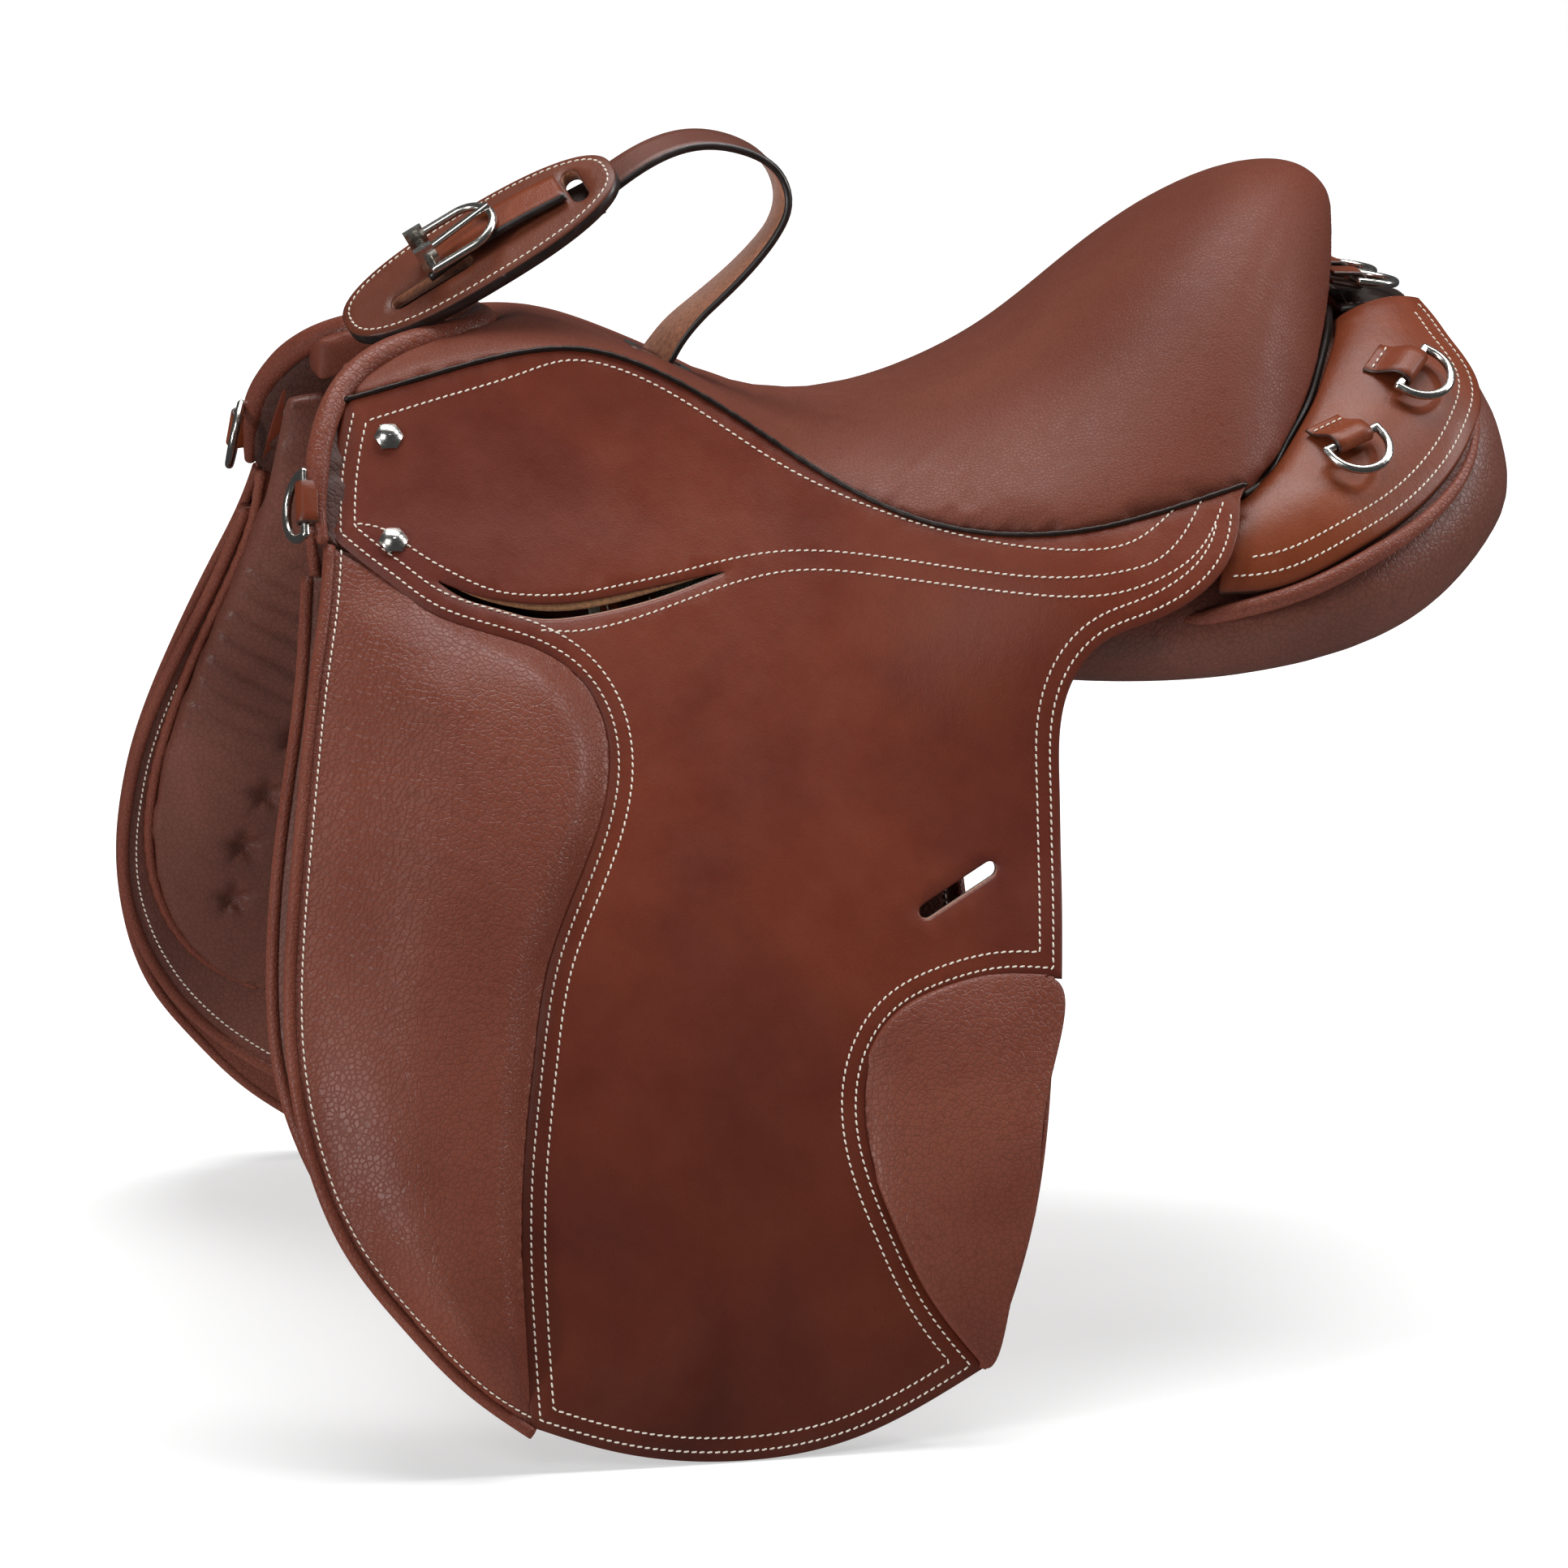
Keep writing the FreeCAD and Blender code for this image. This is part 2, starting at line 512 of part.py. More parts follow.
def dees():
    keepers = []
    for name, origin, bow, normal, hold_along, hold_normal in dee_places():
        normal = square_to(normal, bow)
        export_pair(name, placed(dee(), origin, bow, normal))
        hold = placed(keeper(), origin, hold_along, square_to(hold_normal, hold_along))
        keepers += [hold, mirrored(hold)]
        bar = Vector(normal).cross(Vector(bow)).normalize()
        print("  hinge", name, [round(c, 3) for c in origin], [round(c, 4) for c in bar])
    export("dee_keepers", Part.makeCompound(keepers))


def nails():
    heads = []
    for x, z in ((-194, 101), (-197, 60)):
        origin, normal = side_frame(x, z, 0)
        corners = [Vector(NAIL_HEAD / 2 * math.cos(k * math.pi / 3), NAIL_HEAD / 2 * math.sin(k * math.pi / 3), 0)
                   for k in range(7)]
        prism = Part.Face(Part.makePolygon(corners)).extrude(Vector(0, 0, 4))
        dome = Part.makeSphere(9.0, Vector(0, 0, -5.4))
        head = prism.common(dome)
        shank = Part.makeCylinder(1.5, 14, Vector(0, 0, -14))
        heads.append(placed(head.fuse(shank).removeSplitter(), origin + normal * 0.3, Vector(1, 0, 0), normal))
    export("skirt_nails", Part.makeCompound(heads + [mirrored(h) for h in heads]))


def stirrup_bars():
    """In the bar's own frame X runs back, Z is outward from the skirt and Y is down the drape or up it."""
    origin, normal = side_frame(*BAR_PLACE, 0)
    plate = Part.makeBox(92, 24, 2.2, Vector(-46, -12, -16.3))
    neck = Part.makeBox(9, 10, 10.2, Vector(-40, -5, -14.1))
    bar = Part.makeBox(76, 10, 3.4, Vector(-40, -5, -7.3))
    lap = Part.makeBox(16, 12, 2.0, Vector(22, -6, -7.5))
    pin_hole = Part.makeCylinder(1.5, 6, Vector(30, 0, -9))
    body = fuse([plate, neck, bar]).cut(lap).cut(pin_hole)
    holes = [Part.makeCylinder(2.5, 6, Vector(x, 0, -18)) for x in (-22, 2, 26)]
    for hole in holes:
        body = body.cut(hole)
    export_pair("stirrup_bar", placed(body, origin, Vector(1, 0, 0), normal))
    catch = Part.makeBox(18, 9, 1.5, Vector(27, -4.5, -7.2)).cut(
        Part.makeCylinder(1.5 + PIN_CLEARANCE, 6, Vector(30, 0, -9)))
    catch = catch.cut(Part.makeBox(4, 12, 4, Vector(24, -6, -8)).cut(
        Part.makeCylinder(4.5, 6, Vector(30, 0, -9))))
    export_pair("bar_catch", placed(catch, origin, Vector(1, 0, 0), normal))
    pin = Part.makeCylinder(1.5, 3.4, Vector(30, 0, -7.3))
    shanks = [Part.makeCylinder(2.5, 9.5, Vector(x, 0, -23.6)).fuse(Part.makeCylinder(4.5, 0.5, Vector(x, 0, -14.1)))
              for x in (-22, 2, 26)]
    rivets = [placed(s, origin, Vector(1, 0, 0), normal) for s in shanks]
    export("bar_rivets", Part.makeCompound(rivets + [mirrored(r) for r in rivets]))
    pin = placed(pin, origin, Vector(1, 0, 0), normal)
    export("catch_pins", Part.makeCompound([pin, mirrored(pin)]))
    centre = origin + Vector(30, 0, 0) + normal * -6.4
    print("  hinge bar_catch", [round(c, 3) for c in centre], [round(c, 4) for c in normal])


# ---------------------------------------------------------------- hand-hold

def oval(length, width, thick, base):
    """Plate with a superellipse outline in its own frame, X along its length, from Z = base up."""
    points = []
    for k in range(24):
        a = 2 * math.pi * k / 24
        c, s = math.cos(a), math.sin(a)
        x = math.copysign(abs(c) ** 0.8, c) * length / 2
        y = math.copysign(abs(s) ** 0.8, s) * width / 2
        points.append(Vector(x, y, base))
    line = Part.BSplineCurve()
    line.interpolate(points, True)
    return Part.Face(Part.Wire(line.toShape())).extrude(Vector(0, 0, thick))


def stadium(length, width, height, base):
    """Block with round ends in its own frame, X along its length."""
    straight = length - width
    shape = Part.makeBox(straight, width, height, Vector(-straight / 2, -width / 2, base))
    for end in (-straight / 2, straight / 2):
        shape = shape.fuse(Part.makeCylinder(width / 2, height, Vector(end, 0, base)))
    return shape.removeSplitter()


def on_safe(shape):
    return placed(shape, SAFE_CENTRE, SAFE_LONG, SAFE_NORMAL)


def ribbon(path, widths, width, thick):
    """Flat strap through the path, whose width runs along the vector given at each point."""
    sections = []
    for i, p in enumerate(path):
        ahead = Vector(*path[min(i + 1, len(path) - 1)]).sub(Vector(*path[max(i - 1, 0)])).normalize()
        side = square_to(Vector(*widths[i]), ahead)
        face = ahead.cross(side)
        corners = [Vector(*p) + side * (a * width / 2) + face * (b * thick / 2)
                   for a, b in ((-1, -1), (1, -1), (1, 1), (-1, 1), (-1, -1))]
        sections.append(Part.makePolygon(corners))
    return Part.makeLoft(sections, True)


def hand_hold():
    safe = oval(SAFE_LENGTH, SAFE_WIDTH, SAFE_THICK, -SAFE_THICK)
    front_slit = stadium(42, 9, 30, -15)
    front_slit.translate(Vector(-26, -7, 0))
    rear_slit = stadium(24, 8, 30, -15)
    rear_slit.rotate(Vector(0, 0, 0), Vector(0, 0, 1), 90)
    rear_slit.translate(Vector(50, 0, 0))
    export("oval_safe", on_safe(safe.cut(front_slit).cut(rear_slit)))
    tail = stadium(72, 19, 6.4, 0.5)
    tail.translate(Vector(8, 0, 0))
    export("strap_tail", on_safe(tail))
    export_strap_loop()
    frame = buckle_frame()
    export("buckle_frame", on_safe(frame))
    tongue = Part.makeCylinder(1.7, 32, Vector(-19, 0, 12.0), Vector(1, 0, 0.12))
    eye = Part.makeCylinder(3.8, 5, Vector(-22, -2.5, 11.0), Vector(0, 1, 0))
    tongue = tongue.fuse(eye).removeSplitter().cut(
        Part.makeCylinder(1.9 + 0.15, 8, Vector(-22, -4, 11.0), Vector(0, 1, 0)))
    export("buckle_tongue", on_safe(tongue))
    width_axis = SAFE_NORMAL.cross(SAFE_LONG)
    centre = SAFE_CENTRE + SAFE_LONG * -22 + SAFE_NORMAL * 11.0
    print("  hinge buckle", [round(c, 3) for c in centre], [round(c, 4) for c in width_axis])
    cheeks = []
    for side in (-1, 1):
        cheek = Part.makeBox(9, 3.0, 13.0, Vector(-26.5, side * 7.5 - 1.5, 0.3 + 6.8))
        cheeks.append(cheek.cut(Part.makeCylinder(1.9 + 0.1, 30, Vector(-22, -15, 11.0), Vector(0, 1, 0))))
    export("buckle_hold", on_safe(Part.makeCompound(cheeks)))
    slot_plate()


def buckle_frame():
    """Half-round frame: a heel bar across, two limbs and a bow, in the safe's frame."""
    r, half, heel, z = 1.9, 14.0, -22.0, 11.0
    limb = 20.0
    shapes = [Part.makeCylinder(r, 2 * half, Vector(heel, -half, z), Vector(0, 1, 0))]
    for side in (-1, 1):
        shapes.append(Part.makeSphere(r, Vector(heel, side * half, z)))
        shapes.append(Part.makeCylinder(r, limb, Vector(heel, side * half, z), Vector(1, 0, 0)))
    ring = Part.Face(Part.Wire(Part.makeCircle(r, Vector(heel + limb, -half, z), Vector(1, 0, 0))))
    shapes.append(ring.revolve(Vector(heel + limb, 0, z), Vector(0, 0, 1), 180))
    return fuse(shapes)


def export_strap_loop():
    first, last = Vector(-0.15, 0.91, 0.38), Vector(0.75, 0.3, -0.4)
    count = len(STRAP_PATH)
    widths = []
    for i in range(count):
        turn = smooth((i - 2.5) / (count - 4.0))
        widths.append(tuple(first * (1 - turn) + last * turn))
    export("strap_loop", ribbon(STRAP_PATH, widths, STRAP_WIDTH, STRAP_THICK))
    anchor_path = [(-160, -8, 152), (-160, -6, 144), (-159, -4, 134), (-157, -2, 120), (-156, 0, 101)]
    export("strap_anchor", ribbon(anchor_path, [(0.0, 1.0, 0.0)] * 5, STRAP_WIDTH, 5.0))


def slot_plate():
    """Oval escutcheon on the seat's waist that the strap passes through, and its two screws."""
    seat_z = through(SEAT_CENTRE, -62)
    origin = Vector(-62, -15, seat_z + 1.0)
    slope = Vector(1, 0, -0.48)
    plate = stadium(34, 17, 1.8, 0).cut(stadium(24, 8, 10, -4))
    export("slot_plate", placed(plate, origin, slope, Vector(0.45, -0.05, 1)))


def main():
    print("  hinge flap", [round(c, 3) for c in FOLD_FRONT], [round(c, 3) for c in FOLD_REAR])
    seat_parts()
    welt_parts()
    head_parts()
    skirt_and_flap()
    pads()
    under_layers()
    billets()
    billet_rivets()
    rear_parts()
    dees()
    nails()
    stirrup_bars()
    hand_hold()


main()
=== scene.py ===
"""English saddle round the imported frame: leather, padding, stitching and a plain studio. Metres."""

import json
import math

import bmesh
import bpy
import numpy as np
from mathutils import Matrix, Vector, geometry, noise
from mathutils.kdtree import KDTree


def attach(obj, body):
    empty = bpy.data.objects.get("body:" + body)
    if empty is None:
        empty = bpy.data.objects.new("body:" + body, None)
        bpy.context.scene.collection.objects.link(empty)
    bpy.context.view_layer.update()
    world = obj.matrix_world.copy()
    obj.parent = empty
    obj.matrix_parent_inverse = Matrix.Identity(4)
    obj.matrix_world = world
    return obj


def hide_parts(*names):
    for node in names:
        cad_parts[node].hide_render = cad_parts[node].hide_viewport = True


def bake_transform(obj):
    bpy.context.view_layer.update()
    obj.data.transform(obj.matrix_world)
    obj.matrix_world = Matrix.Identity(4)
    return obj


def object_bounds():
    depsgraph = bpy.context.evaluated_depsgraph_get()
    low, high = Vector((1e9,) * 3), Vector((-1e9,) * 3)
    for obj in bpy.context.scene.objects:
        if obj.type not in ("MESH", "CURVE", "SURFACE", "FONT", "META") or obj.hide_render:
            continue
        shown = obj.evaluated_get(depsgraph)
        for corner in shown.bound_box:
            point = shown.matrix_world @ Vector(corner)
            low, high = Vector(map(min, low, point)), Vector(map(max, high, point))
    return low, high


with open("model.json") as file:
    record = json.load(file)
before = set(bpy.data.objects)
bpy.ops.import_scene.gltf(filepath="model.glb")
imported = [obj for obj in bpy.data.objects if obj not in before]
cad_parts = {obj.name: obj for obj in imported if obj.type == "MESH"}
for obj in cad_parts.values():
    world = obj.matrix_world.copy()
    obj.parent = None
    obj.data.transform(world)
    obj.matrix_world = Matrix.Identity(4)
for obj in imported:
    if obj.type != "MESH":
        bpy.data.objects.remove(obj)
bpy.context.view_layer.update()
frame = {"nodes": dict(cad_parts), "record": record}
NODES = frame["nodes"]
JOINTS = {j["name"]: j for j in frame["record"]["behaviour"]["joints"]}
SIDES = {"near": -1, "off": 1}

# Drape of the flaps: distance of their outer face from the plane of symmetry.
HALF_WIDTH = 0.150
FALL_SLOPE, FALL_CURVE = 0.66, 0.84
HEAD_EASE, HEAD_EASE_FROM = 3.0, 0.060
REAR_FLARE = 0.045
FRONT_WRAP, FRONT_WRAP_FROM = 1.2, -0.150

# Leathers: depths inwards from the outer face of the flap, and thicknesses.
FLAP_THICK = 0.004
SWEAT_DEPTH, SWEAT_THICK = 0.024, 0.003
LIP_DEPTH, LIP_THICK = 0.0016, 0.0014
SKIRT_THICK, BRIDGE_THICK, PUFF_THICK = 0.0036, 0.0030, 0.0030
EDGE_ROUND = 0.0009

# Heights of the padding over the flap's face, how deep its rim lies, and radii of welts and bindings.
ROLL_HEIGHT, CALF_HEIGHT, BEDDING = 0.0165, 0.0105, 0.0014
WELT_RADIUS, FOOT_WELT_RADIUS, KNEE_WELT_RADIUS = 0.0012, 0.0022, 0.0026
BINDING_RADIUS, CALF_BINDING_RADIUS = 0.0027, 0.0020
SWEAT_BINDING_RADIUS, PANEL_BINDING_RADIUS = 0.0030, 0.0040

# Outlines on the near side, as (x, z).
WELT_LINE = [(-0.2115, 0.1165), (-0.177, 0.125), (-0.133, 0.134), (-0.105, 0.1345), (-0.079, 0.127),
             (-0.041, 0.106), (-0.002, 0.080), (0.036, 0.063), (0.075, 0.059), (0.125, 0.065),
             (0.177, 0.077)]
SKIRT_FRONT = [(-0.2115, 0.1137), (-0.2165, 0.099), (-0.2210, 0.080), (-0.2235, 0.0620)]
ROLL_EDGE = [(-0.2000, 0.0430), (-0.1835, 0.0312), (-0.1729, 0.0268), (-0.1547, 0.0212), (-0.138, 0.0150),
             (-0.125, 0.0060), (-0.117, -0.006), (-0.114, -0.022), (-0.119, -0.046), (-0.136, -0.079),
             (-0.149, -0.104), (-0.160, -0.145), (-0.168, -0.190), (-0.171, -0.240), (-0.170, -0.293)]
HEM = [(-0.170, -0.293), (-0.133, -0.306), (-0.084, -0.313), (-0.031, -0.307), (0.006, -0.292),
       (0.029, -0.280)]
CALF_EDGE = [(0.029, -0.280), (0.007, -0.250), (-0.007, -0.218), (-0.017, -0.180), (-0.013, -0.153),
             (0.000, -0.136), (0.025, -0.125), (0.050, -0.121), (0.075, -0.123)]
REAR_EDGE = [(0.075, -0.123), (0.079, -0.088), (0.082, -0.045), (0.085, -0.012), (0.092, 0.004),
             (0.104, 0.016), (0.126, 0.024), (0.145, 0.032), (0.160, 0.043), (0.170, 0.058),
             (0.174, 0.074)]
SLIT_UPPER = [(-0.1793, 0.0440), (-0.1643, 0.0382), (-0.1473, 0.0348), (-0.1315, 0.0335),
              (-0.1154, 0.0343), (-0.0908, 0.0376), (-0.0530, 0.0433)]
SLIT_LOWER = [(-0.0530, 0.0427), (-0.0832, 0.0340), (-0.1080, 0.0294), (-0.1243, 0.0276),
              (-0.1402, 0.0282), (-0.1555, 0.0325), (-0.1707, 0.0375), (-0.1793, 0.0434)]
LIP_WIDTH = 0.0038
SLOT_CENTRE, SLOT_LENGTH, SLOT_WIDTH, SLOT_ANGLE = (0.033, -0.0855), 0.0404, 0.0062, 27.0
ROLL_FRONT = [(-0.169, -0.296), (-0.194, -0.277), (-0.220, -0.249), (-0.242, -0.219), (-0.257, -0.176),
              (-0.261, -0.141), (-0.257, -0.093), (-0.247, -0.039), (-0.236, 0.010), (-0.229, 0.036),
              (-0.2245, 0.058)]
SWEAT_FRONT = [(-0.232, 0.042), (-0.240, -0.001), (-0.254, -0.058), (-0.263, -0.113), (-0.263, -0.152),
               (-0.253, -0.188), (-0.236, -0.218), (-0.205, -0.250), (-0.165, -0.277)]
SWEAT_HEM = [(-0.165, -0.277), (-0.090, -0.294), (-0.020, -0.280), (0.022, -0.245)]
SWEAT_REAR = [(0.022, -0.245), (0.038, -0.150), (0.038, -0.060), (0.034, 0.000), (0.020, 0.040)]
CALF_REAR = [(0.0700, -0.1220), (0.0640, -0.165), (0.0535, -0.215), (0.0405, -0.252), (0.0275, -0.2805)]
CALF_REAR_UNDER = [(0.067, -0.1215)] + CALF_REAR + [(0.024, -0.277)]

# Under the flap: its lining, the girth straps with their holes, and the web as two opposite corners.
LINING_RUNS = ([(-0.218, 0.012), (0.070, -0.014)], [(0.070, -0.014), (0.075, -0.060), (0.068, -0.125)],
               [(0.068, -0.125), (0.054, -0.190), (0.022, -0.268)],
               [(0.022, -0.268), (-0.031, -0.296), (-0.090, -0.303), (-0.160, -0.287)],
               [(-0.160, -0.287), (-0.190, -0.266), (-0.214, -0.240), (-0.236, -0.208), (-0.250, -0.165),
                (-0.252, -0.120), (-0.246, -0.070), (-0.232, -0.010)], [(-0.232, -0.010), (-0.218, 0.012)])
LINING_DEPTH, LINING_THICK = 0.0048, 0.0018
BILLET_PLACES = {"front": -0.095, "rear": -0.015}
BILLET_WIDTH, BILLET_TOP, BILLET_END, BILLET_DEPTH, BILLET_THICK = 0.025, 0.040, -0.205, 0.014, 0.0036
BILLET_HOLE, BILLET_HOLES = 0.005, np.linspace(-0.1975, -0.0877, 6)
WEB_SPAN = ((-0.112, 0.010), (0.002, 0.038))
WEB_DEPTH, WEB_THICK = 0.019, 0.0024

# Stitch rows on the flap that follow no edge, how far in the others lie, and the size of a stitch.
ROW_WELT = [(-0.202, 0.108), (-0.163, 0.118), (-0.134, 0.125), (-0.112, 0.130), (-0.090, 0.126),
            (-0.059, 0.110), (-0.022, 0.085), (0.023, 0.065), (0.055, 0.057), (0.088, 0.0535),
            (0.105, 0.0535), (0.122, 0.0564), (0.143, 0.0685)]
ROW_SLIT_TOP = [(-0.212, 0.0672), (-0.201, 0.0650), (-0.190, 0.0578), (-0.1806, 0.0516), (-0.170, 0.0458),
                (-0.155, 0.0397), (-0.139, 0.0375), (-0.123, 0.0372), (-0.107, 0.0389), (-0.074, 0.0440),
                (-0.040, 0.0495), (-0.013, 0.0505), (0.020, 0.0480), (0.069, 0.0430), (0.103, 0.0433),
                (0.1156, 0.0449), (0.129, 0.0478), (0.145, 0.0584), (0.156, 0.0720)]
ROW_SLIT_LOW = [(-0.138, 0.0239), (-0.125, 0.0229), (-0.109, 0.0242), (-0.0755, 0.0321), (-0.042, 0.0405),
                (-0.014, 0.0430), (0.019, 0.0405), (0.068, 0.0360), (0.102, 0.0352), (0.118, 0.0375),
                (0.133, 0.0420), (0.146, 0.0483), (0.156, 0.0568), (0.1655, 0.0705)]
ROW_INSETS, SKIRT_INSETS = (0.0042, 0.0102), (0.0048, 0.0115)
SWEAT_INSET, ROLL_INSET, SMALL_INSET = 0.0065, 0.0052, 0.0035
STITCH_PITCH, STITCH_LENGTH, STITCH_RADIUS = 0.0034, 0.0027, 0.00041

# Panels: front edge of the knee panel and its tufts as (x, z), then the outer edge of the rear skirt
# and the binding of the rear panel as (x, half width, z).
KNEE_FRONT = [(-0.228, 0.060), (-0.228, 0.040), (-0.238, -0.020), (-0.248, -0.080), (-0.252, -0.130),
              (-0.243, -0.170), (-0.222, -0.200), (-0.195, -0.217)]
TUFTS = [(-0.190, -0.076), (-0.200, -0.107), (-0.209, -0.135), (-0.212, -0.164)]
SKIRT_OUTER = [(0.159, 0.158, 0.031), (0.195, 0.161, 0.038), (0.228, 0.152, 0.050), (0.260, 0.134, 0.064),
               (0.287, 0.110, 0.084), (0.302, 0.080, 0.108), (0.286, 0.036, 0.138)]
PANEL_BINDING = [(0.092, 0.140, 0.010), (0.125, 0.149, 0.0145), (0.160, 0.156, 0.022),
                 (0.197, 0.161, 0.032), (0.231, 0.154, 0.045), (0.263, 0.137, 0.059),
                 (0.289, 0.112, 0.080), (0.298, 0.090, 0.098)]
OFF_LEAN = 0.015

# Seat: centre line as (x, z), and rim and foot of the cantle as (x, half width, z).
SEAT_CENTRE = [(-0.208, 0.128), (-0.170, 0.138), (-0.140, 0.143), (-0.118, 0.1425), (-0.096, 0.137),
               (-0.060, 0.119), (-0.022, 0.103), (0.019, 0.097), (0.060, 0.104), (0.106, 0.126),
               (0.147, 0.160), (0.185, 0.186), (0.223, 0.199), (0.240, 0.197), (0.252, 0.186)]
RIM = [(0.177, 0.138, 0.077), (0.190, 0.129, 0.081), (0.206, 0.111, 0.094), (0.220, 0.091, 0.109),
       (0.232, 0.068, 0.127), (0.240, 0.050, 0.142), (0.247, 0.031, 0.162), (0.252, 0.012, 0.178)]
SEAT_ROUNDNESS = 2.6
CANTLE_FOOT = [(0.177, 0.131, 0.070), (0.189, 0.123, 0.074), (0.204, 0.106, 0.087), (0.219, 0.088, 0.101),
               (0.231, 0.066, 0.114), (0.241, 0.044, 0.126), (0.248, 0.022, 0.134)]
POMMEL_ROLL = [(-0.2275, -0.1040, 0.060), (-0.2285, -0.0945, 0.078), (-0.226, -0.084, 0.095),
               (-0.221, -0.073, 0.107), (-0.212, -0.060, 0.119), (-0.198, -0.046, 0.128),
               (-0.178, -0.035, 0.134), (-0.158, -0.028, 0.137), (-0.146, -0.020, 0.1385),
               (-0.140, -0.009, 0.139), (-0.1385, 0.0, 0.139)]
NOTCH_HALF, NOTCH_END = 0.029, -0.162

# Hand-hold: its oval safe, the strap with the tail and the part under the safe, and the anchor strap.
SAFE_CENTRE = Vector((-0.142, -0.014, 0.175))
SAFE_LONG = Vector((0.8598, -0.0762, 0.5038)).normalized()
SAFE_NORMAL = Vector((-0.4886, -0.4044, 0.7727)).normalized()
SAFE_ACROSS = SAFE_NORMAL.cross(SAFE_LONG).normalized()
SAFE_LENGTH, SAFE_WIDTH, SAFE_THICK = 0.138, 0.057, 0.0065
STRAP_PATH = [(-0.088, -0.006, 0.196), (-0.064, -0.004, 0.211), (-0.043, -0.002, 0.217),
              (-0.022, -0.002, 0.214), (-0.006, -0.004, 0.203), (-0.002, -0.006, 0.189),
              (-0.013, -0.009, 0.169), (-0.036, -0.012, 0.148), (-0.054, -0.014, 0.132),
              (-0.062, -0.015, 0.121)]
STRAP_WIDTH, STRAP_THICK = 0.020, 0.0036
STRAP_SIDES = [(-0.15, 0.91, 0.38), (-0.12, 0.96, 0.20), (-0.08, 0.99, 0.0), (-0.24, 0.95, 0.15),
               (-0.50, 0.80, 0.30)]
STRAP_MARKS = (0.0, 0.35, 0.60, 0.85, 1.0)
FRONT_SLIT, REAR_SLIT = ((-0.026, -0.007), 0.042, 0.009), ((0.050, 0.0), 0.024, 0.008, 90.0)
TAIL_SPAN, TAIL_WIDTH, TAIL_THICK = (-0.026, 0.044), 0.019, 0.0044
UNDER_SPAN, UNDER_WIDTH, UNDER_THICK = (-0.045, 0.056), 0.026, 0.0034
ANCHOR_THICK = 0.0046
ANCHOR_PATH = [(-0.160, -0.008, 0.152), (-0.160, -0.006, 0.144), (-0.159, -0.004, 0.134),
               (-0.157, -0.002, 0.120), (-0.156, 0.0, 0.101)]

# Keepers of the dees.
KEEPER_WIDTH, KEEPER_THICK, KEEPER_TURN = 0.0195, 0.0018, 0.0031
REAR_DEES, LOOSE_DEES = ("rear_dee_low", "rear_dee_high"), ("front_dee", "cantle_dee")

# Padding: cloth frames, and voxels of the seat, the knee panels and the rear panels.
CLOTH_FRAMES = 10
SEAT_VOXEL, KNEE_VOXEL, REAR_VOXEL = 0.0035, 0.0040, 0.0050

# Camera and studio. Each light has its place, target, size and power.
CAMERA_AZIMUTH, CAMERA_ELEVATION, CAMERA_DISTANCE = -12.5, 12.5, 3.6
CAMERA_TARGET = Vector((0.0, 0.0, -0.080))
CAMERA_LENS = 181.3
FLOOR_REACH, WALL_PLACE, WALL_CURVE, WALL_RISE = 14.0, 4.4, 1.4, 5.0
PAPER_TONES, PAPER_GLOW, WORLD_LIGHT = (0.54, 0.56), 0.48, 0.06
LIGHTS = {
    "softbox_top": ((0.1, 0.3, 2.5), (0.0, 0.0, 0.0), (2.2, 1.2), 80.0),
    "softbox_left": ((-2.2, -1.25, 0.25), (-0.2, -0.1, 0.0), (0.20, 0.9), 24.0),
    "softbox_front": ((-1.5, -1.9, 1.7), (0.0, 0.0, 0.0), (1.2, 1.2), 16.0),
    "softbox_right": ((2.3, -0.4, 1.0), (0.2, 0.0, 0.1), (0.25, 0.8), 22.0),
    "softbox_high": ((1.7, -0.3, 2.0), (0.17, -0.1, 0.06), (0.4, 0.4), 16.0),
    "softbox_backdrop": ((0.0, 1.6, 3.0), (0.0, 5.2, 1.0), (4.0, 0.8), 170.0),
}


# ---------------------------------------------------------------- curves and faces

def smooth(t):
    """Rises from 0 to 1 as t goes from 0 to 1, level at both ends."""
    t = np.clip(t, 0.0, 1.0)
    return t * t * (3 - 2 * t)


def drape(x, z):
    """Distance of the flaps' outer face from the plane of symmetry."""
    width = HALF_WIDTH - FALL_SLOPE * z - FALL_CURVE * z * z
    width = width + HEAD_EASE * np.maximum(0.0, z - HEAD_EASE_FROM) ** 2
    width = width + REAR_FLARE * smooth((x + 0.03) / 0.15) * smooth((z + 0.08) / 0.13)
    return width - FRONT_WRAP * np.maximum(0.0, FRONT_WRAP_FROM - x) ** 2


def resample(line, step):
    """Even points along a polyline."""
    line = np.asarray(line, float)
    gaps = np.linalg.norm(np.diff(line, axis=0), axis=1)
    along = np.concatenate([[0.0], np.cumsum(gaps)])
    count = max(2, int(round(along[-1] / step)) + 1)
    marks = np.linspace(0.0, along[-1], count)
    return np.column_stack([np.interp(marks, along, line[:, k]) for k in range(line.shape[1])])


def reloop(loop, step):
    """Even points round a closed loop."""
    return resample(np.vstack([loop, loop[:1]]), step)[:-1]


